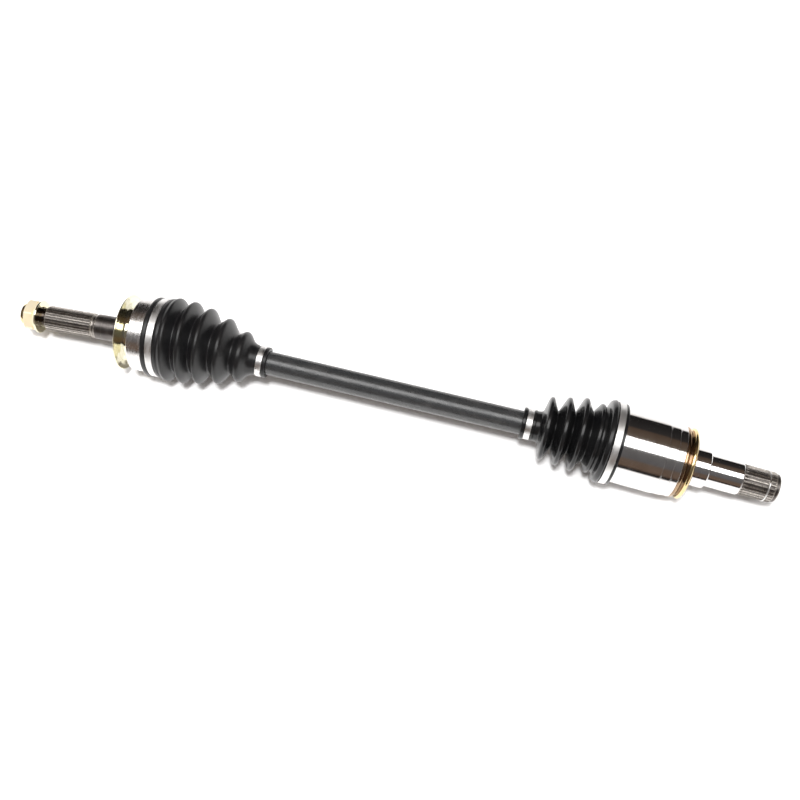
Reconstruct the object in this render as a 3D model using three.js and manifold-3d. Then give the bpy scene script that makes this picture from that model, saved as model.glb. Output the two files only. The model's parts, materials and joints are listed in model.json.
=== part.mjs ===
// Car drive axle (half-shaft): a ball joint at the hub end and a plunging tripod joint at the gearbox end.
// Millimetres. +X runs along the bar towards the gearbox, +Z is up, and the axle lies on Z = 0.

import * as THREE from "three";
import { mergeVertices } from "three/addons/utils/BufferGeometryUtils.js";
import Module from "manifold-3d";

const wasm = await Module();
wasm.setup();

// ---- Driving dimensions -------------------------------------------------------------------------

const GAP = 0.3;
const SIDES = 20;
const FINE_SIDES = 28;
const SMALL_SIDES = 16;
const GROOVE_SIDES = 10;
const degrees = THREE.MathUtils.degToRad;
// A bore of SIDES flats has to be this much wider to clear a round shaft
const FACET_ROOM = 1 / Math.cos(Math.PI / SIDES);

// Positions of the joint centres along the bar, from the middle of the bar
const OUTER_CENTRE = -283;
const INNER_CENTRE = 258;

// How the two joints are bent as the axle lies at rest
const OUTER_DROOP = degrees(-3.3);
const OUTER_YAW = degrees(2.1);
const INNER_DROOP = degrees(3.3);
const INNER_YAW = degrees(-1.2);

// Bar
const BAR_R = 13.2;
const BAR_END_R = 11.2;
const BAR_SPLINE_TEETH = 14;
const BAR_SPLINE_DEPTH = 0.9;
// Grooves near the ends of the bar, and the rings in them
const BAR_CLIP_WIDTH = 1.5;
const BAR_CLIP_DEPTH = 1.6;
const BAR_CLIP_PROUD = 1.4;
// From the end face of each splined hub: to its clip groove, to the end of the bar, and to the full bar
const CLIP_PAST_HUB = 2;
const BAR_PAST_HUB = 5;
const SEAT_BEFORE_HUB = 4;

// Ball joint
const BALL_R = 8.2;
const BALL_PITCH_R = 28;
const BALL_COUNT = 6;
const GROOVE_HALF_DEPTH = 9.4;
const GROOVE_HALF_WIDTH = 10.4;
const INNER_RACE_R = 24.4;
const INNER_RACE_HALF = 11;
const CAGE_INNER_R = 25.5;
const CAGE_OUTER_R = 31;
const CAGE_HALF = 11;
const CAGE_WINDOW_ROOM = 1.2;
const RACE_CAVITY_R = 32;
const BELL_R = 41;

// Hub stub, nut and shield, as distances outward from the centre of the ball joint
const BELL_MOUTH = -19;
const BELL_MOUTH_BORE_R = 36.4;
const BELL_SHOULDER = 19;
const CAVITY_FLOOR = 25;
const CAVITY_FLOOR_R = 20;
const STUB_COLLAR_R = 27;
const SHIELD_AT = 32;
const SHIELD_R = 42.4;
const SHIELD_WALL = 1.4;
const STUB_R = 14;
const HUB_SPLINE_R = 13.95;
const HUB_SPLINE_DEPTH = 1.1;
const HUB_SPLINE_TEETH = 27;
const HUB_SPLINE_FROM = 74;
const HUB_SPLINE_TO = 129.5;
const THREAD_R = 10.9;
const STUB_END = 156.6;
const NUT_FLANGE_FACE = 137.2;
const NUT_FLANGE_R = 18.5;
const NUT_FLANGE_THICK = 2.5;
const NUT_ACROSS_FLATS = 32;
const NUT_COLLAR_R = 12.2;
const NUT_COLLAR_LENGTH = 4.6;
const NUT_LENGTH = 21;
const WASHER_THICK = 1.8;

// Tripod joint
const ROLLER_R = 15.5;
const ROLLER_HALF = 6;
const ROLLER_PITCH_R = 24;
const ROLLER_BORE_R = 12.3;
const NEEDLE_R = 1.3;
const NEEDLE_COUNT = 18;
const TRUNNION_R = 9;
const TRUNNION_TIP = 32.6;
const TRUNNION_GROOVE = 30.7;
const TRUNNION_GROOVE_WIDTH = 1.3;
const ROLLER_CLIP_WIDTH = 1;
const ROLLER_CLIP_PROUD = 2.2;
const SPIDER_R = 15;
const SPIDER_HALF = 11;
const TRACK_HALF_WIDTH = 17.2;
const TRACK_FLOOR_R = 36.6;
const HOUSING_R = 41;
const HOUSING_BORE_R = 22;

// Housing, as distances from the centre of the tripod joint towards the gearbox
const HOUSING_MOUTH = -31;
const HOUSING_FLOOR = 42;
const HOUSING_GROOVE = 27.7;
const HOUSING_STEP = 38.2;
const HOUSING_BACK = 51;
const DEFLECTOR_AT = 54;
const DEFLECTOR_R = 39.2;
const GEARBOX_BOSS_R = 21.3;
const GEARBOX_BOSS_END = 78.6;
const GEARBOX_STUB_R = 18.1;
const GEARBOX_SPLINE_FROM = 116.6;
const GEARBOX_SPLINE_TO = 150.6;
const GEARBOX_SPLINE_R = 16.6;
const GEARBOX_SPLINE_DEPTH = 1.2;
const GEARBOX_SPLINE_TEETH = 26;
const STUB_CLIP_FROM = 142.2;
const STUB_CLIP_WIDTH = 2;
const STUB_CLIP_DEPTH = 1.9;
const GEARBOX_END = 155;

// Rubber boots: [position along the bar, radius] of the outside of each cuff, and of each peak and valley
const BOOT_WALL = 2;
const OUTER_BOOT_CUFF = [[-285, 44.5], [-280, 44.5], [-280, 43], [-270.5, 43], [-269.5, 44.8]];
const OUTER_BOOT_FOLDS = [
  [-261, 46.9], [-252.4, 37], [-243.4, 45.8], [-234.2, 33.6], [-224.6, 42.4], [-213.8, 28.2],
  [-203, 36.6], [-190.6, 22.8], [-180, 28.2], [-172.5, 18.5],
];
const OUTER_BOOT_NECK = [[-165, 16.1], [-156.1, 16.1], [-156.1, 17.3], [-152, 17.3]];
const INNER_BOOT_NECK = [[134.2, 17.6], [138.2, 17.6], [138.2, 15.7], [146.4, 15.7], [154.5, 17.4]];
const INNER_BOOT_FOLDS = [
  [161.2, 35.2], [169.7, 21.6], [178.3, 38], [187.3, 24.2], [195.2, 40.8], [204.9, 28.8],
  [213.9, 38.6], [219, 36.8],
];
const INNER_BOOT_CUFF = [
  [222, 45.2], [226.5, 46], [227.5, 44], [236, 44], [236.5, 44.6], [239, 44.2],
];
// Where each boot begins to follow its joint's bend, and where it follows it fully
const OUTER_BOOT_BEND = [-170, -264];
const INNER_BOOT_BEND = [152, 224];

// Boot clamps: place along the bar, radius that the band grips, and the angle of the crimped ear
const OUTER_SMALL_CLAMP = { from: -163.1, to: -156.6, grip: 16.4, ear: degrees(70) };
const INNER_SMALL_CLAMP = { from: 138.8, to: 145.3, grip: 16, ear: degrees(-110) };
const OUTER_LARGE_CLAMP = { from: -279, to: -271.5, grip: 43.3, ear: degrees(150) };
const INNER_LARGE_CLAMP = { from: 228.2, to: 235.3, grip: 44.3, ear: degrees(150) };
const SMALL_CLAMP_STRIP = { thick: 0.7, earLength: 6, earHeight: 1.6 };
const LARGE_CLAMP_STRIP = { thick: 0.8, earLength: 9, earHeight: 2 };

// ---- Materials ----------------------------------------------------------------------------------

function metal(color, roughness) {
  return new THREE.MeshStandardMaterial({ color, roughness, metalness: 1 });
}

const materials = {
  groundSteel: () => metal(0xd0d0d2, 0.22),
  bearingSteel: () => metal(0xb8babf, 0.15),
  forgedSteel: () => metal(0x55504c, 0.5),
  stainless: () => metal(0xc6c6c8, 0.35),
  springSteel: () => metal(0x4a4a50, 0.4),
  yellowZinc: () => metal(0xb9a45a, 0.3),
  paleZinc: () => metal(0xdcc890, 0.35),
  blackPaint: () => new THREE.MeshStandardMaterial({ color: 0x1b1b1d, roughness: 0.45, metalness: 0.1 }),
  bootRubber: () => new THREE.MeshStandardMaterial({ color: 0x141415, roughness: 0.6, metalness: 0 }),
};

// ---- Solid helpers ------------------------------------------------------------------------------

function toSolid(geometry) {
  const plain = geometry.clone();
  plain.deleteAttribute("normal");
  plain.deleteAttribute("uv");
  const merged = mergeVertices(plain, 1e-4);
  const mesh = new wasm.Mesh({
    numProp: 3,
    vertProperties: new Float32Array(merged.attributes.position.array),
    triVerts: new Uint32Array(merged.index.array),
  });
  return new wasm.Manifold(mesh);
}

function toGeometry(solid) {
  const mesh = solid.getMesh();
  const geometry = new THREE.BufferGeometry();
  geometry.setAttribute("position", new THREE.BufferAttribute(new Float32Array(mesh.vertProperties), 3));
  geometry.setIndex(new THREE.BufferAttribute(new Uint32Array(mesh.triVerts), 1));
  geometry.computeVertexNormals();
  return geometry;
}

function cut(base, cutters) {
  let solid = toSolid(base);
  for (const cutter of cutters) {
    solid = solid.subtract(toSolid(cutter));
  }
  return toGeometry(solid);
}

function join(pieces) {
  let solid = toSolid(pieces[0]);
  for (const piece of pieces.slice(1)) {
    solid = solid.add(toSolid(piece));
  }
  return toGeometry(solid);
}

// A body of revolution about X. The section is a list of [x, radius], in either direction;
// a ring's section closes on itself.
function turned(section, sides = SIDES) {
  const points = section.map(([x, radius]) => new THREE.Vector2(radius, x));
  if (THREE.ShapeUtils.isClockWise(points)) {
    points.reverse();
  }
  const geometry = new THREE.LatheGeometry(points, sides);
  geometry.rotateZ(-Math.PI / 2);
  return geometry;
}

function turnedRing(section, sides = SIDES) {
  return turned([...section, section[0]], sides);
}

function ring(from, to, innerR, outerR, sides = SIDES) {
  return turnedRing([[from, innerR], [from, outerR], [to, outerR], [to, innerR]], sides);
}

// Points of a circular arc about [x, 0] between two polar angles, measured from +X
function arc(x, radius, fromAngle, toAngle, steps) {
  return Array.from({ length: steps + 1 }, (_, index) => {
    const angle = fromAngle + ((toAngle - fromAngle) * index) / steps;
    return [x + radius * Math.cos(angle), radius * Math.sin(angle)];
  });
}

// The outline of a splined shaft: flat-topped teeth round the X axis
function splineOutline(outerR, depth, teeth) {
  const shape = new THREE.Shape();
  const pitch = (2 * Math.PI) / teeth;
  for (let tooth = 0; tooth < teeth; tooth += 1) {
    const corners = [[-0.36, outerR - depth], [-0.16, outerR], [0.16, outerR], [0.36, outerR - depth]];
    for (const [share, radius] of corners) {
      const angle = (tooth + share) * pitch;
      const x = radius * Math.cos(angle);
      const y = radius * Math.sin(angle);
      if (tooth === 0 && share === corners[0][0]) {
        shape.moveTo(x, y);
      } else {
        shape.lineTo(x, y);
      }
    }
  }
  shape.closePath();
  return shape;
}

// A prism along X between two positions
function prism(shape, from, to) {
  const depth = to - from;
  const geometry = new THREE.ExtrudeGeometry(shape, { depth, bevelEnabled: false, curveSegments: 6 });
  geometry.rotateY(Math.PI / 2);
  geometry.translate(from, 0, 0);
  return geometry;
}

function spline(from, to, outerR, depth, teeth) {
  return prism(splineOutline(outerR, depth, teeth), from, to);
}

// ---- Scene graph: one group for each thing that turns on its own -----------------------------------

const axle = new THREE.Group();
const bar = new THREE.Group();
axle.add(bar);

function group(parent, x = 0) {
  const child = new THREE.Group();
  child.position.x = x;
  parent.add(child);
  return child;
}

const outerJoint = group(bar, OUTER_CENTRE);
const outerPivot = group(outerJoint);
outerPivot.rotation.y = OUTER_DROOP / 2;
const outerCageFrame = group(outerPivot);
outerCageFrame.rotation.z = OUTER_YAW / 2;
const outerBend = group(outerPivot);
outerBend.rotation.z = OUTER_YAW;
const outerRaceFrame = group(outerBend);
outerRaceFrame.rotation.y = OUTER_DROOP / 2;
// The stub's own frame has +X pointing outward, away from the bar
const stubFrame = group(outerRaceFrame);
stubFrame.rotation.z = Math.PI;

const innerJoint = group(bar, INNER_CENTRE);
const innerPivot = group(innerJoint);
innerPivot.rotation.z = INNER_YAW;
const housingFrame = group(innerPivot);
housingFrame.rotation.y = INNER_DROOP;

function add(parent, name, geometry, material) {
  const mesh = new THREE.Mesh(geometry, material());
  mesh.name = name;
  parent.add(mesh);
  return mesh;
}

// ---- Bar ----------------------------------------------------------------------------------------

const outerClipAt = OUTER_CENTRE - INNER_RACE_HALF - CLIP_PAST_HUB - BAR_CLIP_WIDTH;
const innerClipAt = INNER_CENTRE + SPIDER_HALF + CLIP_PAST_HUB;

function barShaft() {
  const outerEnd = OUTER_CENTRE - INNER_RACE_HALF - BAR_PAST_HUB;
  const innerEnd = INNER_CENTRE + SPIDER_HALF + BAR_PAST_HUB;
  const outerSeat = OUTER_CENTRE + INNER_RACE_HALF + SEAT_BEFORE_HUB;
  const innerSeat = INNER_CENTRE - SPIDER_HALF - SEAT_BEFORE_HUB;
  const shaft = turned([
    [outerSeat - 3, 0], [outerSeat - 3, BAR_END_R - BAR_SPLINE_DEPTH], [outerSeat, BAR_R],
    [innerSeat, BAR_R], [innerSeat + 3, BAR_END_R - BAR_SPLINE_DEPTH], [innerSeat + 3, 0],
  ]);
  const ends = [[outerEnd, outerSeat], [innerSeat, innerEnd]].map(([from, to]) =>
    spline(from, to, BAR_END_R, BAR_SPLINE_DEPTH, BAR_SPLINE_TEETH));
  const clipGrooves = [outerClipAt, innerClipAt].map((from) =>
    ring(from, from + BAR_CLIP_WIDTH, BAR_END_R - BAR_CLIP_DEPTH, BAR_END_R + 2));
  return cut(join([shaft, ...ends]), clipGrooves);
}

// A wire ring round the bar, open on one side, that sits in the groove past a splined hub
function barClip(x) {
  const inside = BAR_END_R - BAR_CLIP_DEPTH + GAP;
  const band = ring(x + GAP, x + BAR_CLIP_WIDTH - GAP, inside, BAR_END_R + BAR_CLIP_PROUD, SMALL_SIDES);
  const mouth = new THREE.BoxGeometry(4, 3.4, 8);
  mouth.translate(x, 0, BAR_END_R);
  return cut(band, [mouth]);
}

function splinedBore(from, to) {
  return spline(from, to, BAR_END_R + GAP, BAR_SPLINE_DEPTH, BAR_SPLINE_TEETH);
}

add(bar, "bar_shaft", barShaft(), materials.blackPaint);
add(bar, "outer_race_circlip", barClip(outerClipAt), materials.springSteel);
add(bar, "spider_circlip", barClip(innerClipAt), materials.springSteel);

// ---- Ball joint -----------------------------------------------------------------------------------

// Circular grooves about the joint centre: one oval torus in each plane that holds two balls
function ballGrooves(reach) {
  const section = Array.from({ length: GROOVE_SIDES }, (_, index) => {
    const angle = (-2 * Math.PI * index) / GROOVE_SIDES;
    const across = GROOVE_HALF_WIDTH * Math.sin(angle);
    return new THREE.Vector2(BALL_PITCH_R + GROOVE_HALF_DEPTH * Math.cos(angle), -across);
  });
  section.push(section[0].clone());
  const limit = toSolid(ring(-reach[0], reach[1], 0.5, BELL_R + 20, SMALL_SIDES));
  return Array.from({ length: BALL_COUNT / 2 }, (_, index) => {
    const torus = new THREE.LatheGeometry(section, 24);
    torus.rotateX((index * 2 * Math.PI) / BALL_COUNT);
    return toGeometry(toSolid(torus).intersect(limit));
  });
}

function outerInnerRace() {
  const face = Math.acos(INNER_RACE_HALF / INNER_RACE_R);
  const body = turned([
    [INNER_RACE_HALF, 0],
    ...arc(0, INNER_RACE_R, face, Math.PI - face, 4),
    [-INNER_RACE_HALF, 0],
  ]);
  return cut(body, [...ballGrooves([30, 30]), splinedBore(-20, 20)]);
}

function outerCage() {
  const outerFace = Math.acos(CAGE_HALF / CAGE_OUTER_R);
  const innerFace = Math.acos(CAGE_HALF / CAGE_INNER_R);
  const band = turnedRing([
    ...arc(0, CAGE_OUTER_R, Math.PI - outerFace, outerFace, 4),
    ...arc(0, CAGE_INNER_R, innerFace, Math.PI - innerFace, 4),
  ], FINE_SIDES);
  const windowSize = 2 * (BALL_R + GAP);
  const windows = Array.from({ length: BALL_COUNT }, (_, index) => {
    const box = new THREE.BoxGeometry(windowSize, windowSize + CAGE_WINDOW_ROOM, 16);
    box.translate(0, 0, BALL_PITCH_R);
    box.rotateX((index * 2 * Math.PI) / BALL_COUNT);
    return box;
  });
  return cut(band, windows);
}

function addBalls() {
  for (let index = 0; index < BALL_COUNT; index += 1) {
    const angle = (index * 2 * Math.PI) / BALL_COUNT;
    // The two balls on the yaw axis do not move as the cage yaws
    const onYawAxis = index % (BALL_COUNT / 2) === 0;
    const ball = add(
      onYawAxis ? outerPivot : outerCageFrame,
      `outer_ball_${index + 1}`,
      new THREE.SphereGeometry(BALL_R, 10, 7),
      materials.bearingSteel,
    );
    ball.position.set(0, -BALL_PITCH_R * Math.sin(angle), BALL_PITCH_R * Math.cos(angle));
  }
}

// Bell and stub in one forging, in the stub's frame: +X points outward
function outerRace() {
  const mouthCone = -12.5;
  const conePolar = Math.acos(mouthCone / RACE_CAVITY_R);
  const floorPolar = Math.acos(CAVITY_FLOOR_R / RACE_CAVITY_R);
  const outside = turned([
    [BELL_MOUTH, BELL_MOUTH_BORE_R], [BELL_MOUTH, BELL_R - 1], [BELL_MOUTH + 1, BELL_R],
    [BELL_SHOULDER - 1.5, BELL_R], [BELL_SHOULDER, BELL_R - 2],
    [BELL_SHOULDER + 2, STUB_COLLAR_R + 3], [BELL_SHOULDER + 4, STUB_COLLAR_R],
    [SHIELD_AT + 2.5, STUB_COLLAR_R], [SHIELD_AT + 2.5, STUB_R + 3], [SHIELD_AT + 6.5, STUB_R],
    [HUB_SPLINE_FROM - 4, STUB_R], [HUB_SPLINE_FROM - 3, HUB_SPLINE_R - 1.6],
    [HUB_SPLINE_FROM - 1, HUB_SPLINE_R - 1.6], [HUB_SPLINE_FROM, HUB_SPLINE_R - HUB_SPLINE_DEPTH - 0.1],
    [HUB_SPLINE_TO, HUB_SPLINE_R - HUB_SPLINE_DEPTH - 0.1], [HUB_SPLINE_TO + 1.5, THREAD_R],
    [STUB_END - 1, THREAD_R], [STUB_END, THREAD_R - 1], [STUB_END, 0], [CAVITY_FLOOR, 0],
    [CAVITY_FLOOR, CAVITY_FLOOR_R], ...arc(0, RACE_CAVITY_R, floorPolar, conePolar, 6),
    [BELL_MOUTH, BELL_MOUTH_BORE_R],
  ], FINE_SIDES);
  const splinedPart = spline(
    HUB_SPLINE_FROM, HUB_SPLINE_TO, HUB_SPLINE_R, HUB_SPLINE_DEPTH, HUB_SPLINE_TEETH,
  );
  return cut(join([outside, splinedPart]), ballGrooves([30, 22]));
}

// Pressed steel disc that keeps mud off the hub seal, with a collar pushed on to the bell
function dustShield() {
  const bore = STUB_COLLAR_R + GAP;
  const collar = bore + SHIELD_WALL;
  return turnedRing([
    [BELL_SHOULDER + 4.5, bore], [SHIELD_AT + 0.5, bore], [SHIELD_AT + 0.5, collar],
    [SHIELD_AT - 3.1, collar], [SHIELD_AT - 1.7, collar + 2.2], [SHIELD_AT + 1.1, SHIELD_R - 4],
    [SHIELD_AT + 1.4, SHIELD_R], [SHIELD_AT, SHIELD_R], [SHIELD_AT - 0.3, SHIELD_R - 3.6],
    [SHIELD_AT - 3.1, collar + 3], [SHIELD_AT - 6.5, collar], [BELL_SHOULDER + 4.5, collar],
  ], FINE_SIDES);
}

add(bar, "outer_inner_race", outerInnerRace().translate(OUTER_CENTRE, 0, 0), materials.bearingSteel);
add(outerCageFrame, "outer_cage", outerCage(), materials.forgedSteel);
addBalls();
add(stubFrame, "outer_race", outerRace(), materials.groundSteel);
add(stubFrame, "dust_shield", dustShield(), materials.yellowZinc);

// ---- Hub nut and its captive washer ------------------------------------------------------------------

function hexPrism(from, to, acrossFlats) {
  const hex = new THREE.Shape();
  const cornerR = acrossFlats / 2 / Math.cos(Math.PI / 6);
  for (let corner = 0; corner < 6; corner += 1) {
    const angle = (corner * Math.PI) / 3;
    const x = cornerR * Math.cos(angle);
    const y = cornerR * Math.sin(angle);
    if (corner === 0) {
      hex.moveTo(x, y);
    } else {
      hex.lineTo(x, y);
    }
  }
  hex.closePath();
  return prism(hex, from, to);
}

function hubNut() {
  const from = NUT_FLANGE_FACE + WASHER_THICK + GAP;
  const to = NUT_FLANGE_FACE + NUT_LENGTH;
  const hexFrom = from + NUT_FLANGE_THICK;
  const hexTo = to - NUT_COLLAR_LENGTH;
  const cornerR = NUT_ACROSS_FLATS / 2 / Math.cos(Math.PI / 6);
  const chamferedHex = toSolid(hexPrism(hexFrom, hexTo, NUT_ACROSS_FLATS)).intersect(toSolid(turned([
    [hexFrom - 1, 0], [hexFrom - 1, cornerR], [hexTo - 2, cornerR], [hexTo, cornerR - 3], [hexTo, 0],
  ])));
  const flangeAndCollar = turned([
    [from, 0], [from, NUT_FLANGE_R - 1], [from + 1, NUT_FLANGE_R - 1],
    [hexFrom + 1, 15], [hexTo - 1, NUT_COLLAR_R], [to - 0.6, NUT_COLLAR_R],
    [to, NUT_COLLAR_R - 0.4], [to, 0],
  ]);
  const bore = turned([
    [from - 1, 0], [from - 1, THREAD_R + GAP], [to + 1, THREAD_R + GAP], [to + 1, 0],
  ]);
  return toGeometry(chamferedHex.add(toSolid(flangeAndCollar)).subtract(toSolid(bore)));
}

function nutWasher() {
  const to = NUT_FLANGE_FACE + WASHER_THICK;
  return turnedRing([
    [NUT_FLANGE_FACE, THREAD_R + GAP + 0.2], [NUT_FLANGE_FACE, NUT_FLANGE_R - 0.4],
    [NUT_FLANGE_FACE + 0.4, NUT_FLANGE_R], [to, NUT_FLANGE_R], [to, THREAD_R + GAP + 0.2],
  ]);
}

add(stubFrame, "hub_nut", hubNut(), materials.paleZinc);
add(stubFrame, "nut_washer", nutWasher(), materials.yellowZinc);

// ---- Tripod joint ---------------------------------------------------------------------------------

function trunnionAngle(index) {
  return (index * 2 * Math.PI) / 3;
}

function tripodSpider() {
  const hub = turned([
    [-SPIDER_HALF, 0], [-SPIDER_HALF, SPIDER_R - 1.5], [-SPIDER_HALF + 1.5, SPIDER_R],
    [SPIDER_HALF - 1.5, SPIDER_R], [SPIDER_HALF, SPIDER_R - 1.5], [SPIDER_HALF, 0],
  ]);
  const trunnions = [0, 1, 2].map((index) => {
    const grooveEnd = TRUNNION_GROOVE + TRUNNION_GROOVE_WIDTH;
    const trunnion = turned([
      [SPIDER_R - 4, 0], [SPIDER_R - 4, TRUNNION_R], [TRUNNION_GROOVE, TRUNNION_R],
      [TRUNNION_GROOVE, TRUNNION_R - 1], [grooveEnd, TRUNNION_R - 1], [grooveEnd, TRUNNION_R - 0.2],
      [TRUNNION_TIP, TRUNNION_R - 0.6], [TRUNNION_TIP, 0],
    ], SMALL_SIDES);
    trunnion.rotateY(-Math.PI / 2);
    trunnion.rotateX(trunnionAngle(index));
    return trunnion;
  });
  return cut(join([hub, ...trunnions]), [splinedBore(-20, 20)]);
}

// Ring with a ball-shaped outside, about X
function tripodRoller() {
  const face = Math.acos(ROLLER_HALF / ROLLER_R);
  return turnedRing([
    ...arc(0, ROLLER_R, Math.PI - face, face, 4),
    [ROLLER_HALF, ROLLER_BORE_R], [-ROLLER_HALF, ROLLER_BORE_R],
  ]);
}

// The needles stand side by side round the trunnion and are drawn as one fluted sleeve
function rollerNeedles() {
  const pitchR = (TRUNNION_R + ROLLER_BORE_R) / 2;
  const outline = new THREE.Shape();
  const hole = new THREE.Path();
  for (let step = 0; step < 2 * NEEDLE_COUNT; step += 1) {
    const angle = (step * Math.PI) / NEEDLE_COUNT;
    const swell = step % 2 === 0 ? NEEDLE_R : NEEDLE_R * 0.45;
    const outside = [(pitchR + swell) * Math.cos(angle), (pitchR + swell) * Math.sin(angle)];
    const inside = [(pitchR - swell) * Math.cos(angle), (pitchR - swell) * Math.sin(angle)];
    if (step === 0) {
      outline.moveTo(...outside);
      hole.moveTo(...inside);
    } else {
      outline.lineTo(...outside);
      hole.lineTo(...inside);
    }
  }
  outline.closePath();
  hole.closePath();
  outline.holes.push(hole);
  return prism(outline, -ROLLER_HALF + 0.6, ROLLER_HALF - 0.6);
}

// Retaining ring past the roller, open on one side, in the trunnion's end groove
function rollerClip() {
  const from = TRUNNION_GROOVE + GAP / 2 - ROLLER_PITCH_R;
  const to = from + ROLLER_CLIP_WIDTH;
  const band = ring(from, to, TRUNNION_R - 0.7, TRUNNION_R + ROLLER_CLIP_PROUD, SMALL_SIDES);
  const mouth = new THREE.BoxGeometry(4, 4, 6);
  mouth.translate(from, 0, TRUNNION_R);
  return cut(band, [mouth]);
}

function addRollers() {
  for (let index = 0; index < 3; index += 1) {
    // The first trunnion lies on the yaw axis, so what turns on it belongs to the yawing frame
    const holder = group(index === 0 ? innerPivot : innerJoint);
    holder.rotation.x = trunnionAngle(index);
    const trunnionFrame = group(holder);
    trunnionFrame.position.z = ROLLER_PITCH_R;
    trunnionFrame.rotation.y = -Math.PI / 2;
    add(trunnionFrame, `tripod_roller_${index + 1}`, tripodRoller(), materials.bearingSteel);
    add(trunnionFrame, `roller_needles_${index + 1}`, rollerNeedles(), materials.bearingSteel);
    const clipHolder = group(innerJoint);
    clipHolder.rotation.x = trunnionAngle(index);
    const clipFrame = group(clipHolder);
    clipFrame.position.z = ROLLER_PITCH_R;
    clipFrame.rotation.y = -Math.PI / 2;
    add(clipFrame, `roller_clip_${index + 1}`, rollerClip(), materials.springSteel);
  }
}

add(innerJoint, "tripod_spider", tripodSpider(), materials.forgedSteel);
addRollers();

// ---- Housing --------------------------------------------------------------------------------------

// Three straight tracks that meet in the middle. A prism laid along X turns the outline's X into -Z,
// so the first track, which holds the upright trunnion, is drawn at half a turn.
function trackOutline() {
  const outline = new THREE.Shape();
  const meetR = TRACK_HALF_WIDTH / Math.sin(Math.PI / 3);
  const halfAngle = Math.asin(TRACK_HALF_WIDTH / TRACK_FLOOR_R);
  const steps = 6;
  for (let track = 0; track < 3; track += 1) {
    const middle = Math.PI + trunnionAngle(track);
    for (let step = 0; step <= steps; step += 1) {
      const angle = middle + halfAngle * ((2 * step) / steps - 1);
      const x = TRACK_FLOOR_R * Math.cos(angle);
      const y = TRACK_FLOOR_R * Math.sin(angle);
      if (track === 0 && step === 0) {
        outline.moveTo(x, y);
      } else {
        outline.lineTo(x, y);
      }
    }
    const corner = middle + Math.PI / 3;
    outline.lineTo(meetR * Math.cos(corner), meetR * Math.sin(corner));
  }
  outline.closePath();
  return outline;
}

function innerHousing() {
  const outside = turned([
    [HOUSING_MOUTH, 0], [HOUSING_MOUTH, HOUSING_R - 1], [HOUSING_MOUTH + 1, HOUSING_R],
    [HOUSING_GROOVE - 0.6, HOUSING_R], [HOUSING_GROOVE, HOUSING_R - 0.7],
    [HOUSING_STEP, HOUSING_R - 0.7], [HOUSING_STEP + 0.6, HOUSING_R - 1.5],
    [HOUSING_BACK - 4, HOUSING_R - 1.5], [HOUSING_BACK, HOUSING_R - 4.5], [HOUSING_BACK, DEFLECTOR_R - 3],
    [DEFLECTOR_AT + 5, DEFLECTOR_R - 3], [DEFLECTOR_AT + 5, GEARBOX_BOSS_R + 2],
    [DEFLECTOR_AT + 7, GEARBOX_BOSS_R], [GEARBOX_BOSS_END - 0.8, GEARBOX_BOSS_R],
    [GEARBOX_BOSS_END, GEARBOX_BOSS_R - 0.8], [GEARBOX_BOSS_END, GEARBOX_STUB_R],
    [GEARBOX_SPLINE_FROM - 1.2, GEARBOX_STUB_R],
    [GEARBOX_SPLINE_FROM, GEARBOX_SPLINE_R - GEARBOX_SPLINE_DEPTH - 0.1],
    [GEARBOX_END - 0.8, GEARBOX_SPLINE_R - GEARBOX_SPLINE_DEPTH - 0.1],
    [GEARBOX_END, GEARBOX_SPLINE_R - GEARBOX_SPLINE_DEPTH - 0.9], [GEARBOX_END, 0],
  ], FINE_SIDES);
  const splinedPart = spline(
    GEARBOX_SPLINE_FROM, GEARBOX_SPLINE_TO, GEARBOX_SPLINE_R, GEARBOX_SPLINE_DEPTH, GEARBOX_SPLINE_TEETH,
  );
  const tracks = prism(trackOutline(), HOUSING_MOUTH - 2, HOUSING_FLOOR);
  const bore = turned([
    [HOUSING_MOUTH - 2, 0], [HOUSING_MOUTH - 2, 34], [-5, HOUSING_BORE_R],
    [HOUSING_FLOOR, HOUSING_BORE_R], [HOUSING_FLOOR, 0],
  ]);
  const ringGroove = ring(HOUSING_MOUTH + 0.2, HOUSING_MOUTH + 2.4, 20, TRACK_FLOOR_R + 1.2);
  const clipGroove = ring(
    STUB_CLIP_FROM, STUB_CLIP_FROM + STUB_CLIP_WIDTH, GEARBOX_SPLINE_R - STUB_CLIP_DEPTH, HOUSING_R,
  );
  return cut(join([outside, splinedPart]), [tracks, bore, ringGroove, clipGroove]);
}

function stopRing() {
  return ring(HOUSING_MOUTH + 0.6, HOUSING_MOUTH + 2, TRACK_FLOOR_R - 1.2, TRACK_FLOOR_R + 0.8);
}

// Pressed ring with a rolled edge, pushed on behind the housing to guard the gearbox seal
function dustDeflector() {
  const bore = DEFLECTOR_R - 3 + GAP;
  return turnedRing([
    [DEFLECTOR_AT - 2, bore], [DEFLECTOR_AT + 4, bore], [DEFLECTOR_AT + 4, DEFLECTOR_R - 0.8],
    [DEFLECTOR_AT + 3.2, DEFLECTOR_R], [DEFLECTOR_AT + 0.8, DEFLECTOR_R], [DEFLECTOR_AT, DEFLECTOR_R - 0.8],
    [DEFLECTOR_AT - 2, bore + 1],
  ], FINE_SIDES);
}

// Open wire ring that clicks the stub into the gearbox
function stubCirclip() {
  const from = STUB_CLIP_FROM + GAP;
  const to = STUB_CLIP_FROM + STUB_CLIP_WIDTH - GAP;
  const band = ring(from, to, GEARBOX_SPLINE_R - STUB_CLIP_DEPTH + GAP, GEARBOX_SPLINE_R + 0.5);
  const mouth = new THREE.BoxGeometry(5, 5, 8);
  mouth.translate(from, 0, GEARBOX_SPLINE_R);
  return cut(band, [mouth]);
}

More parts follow.
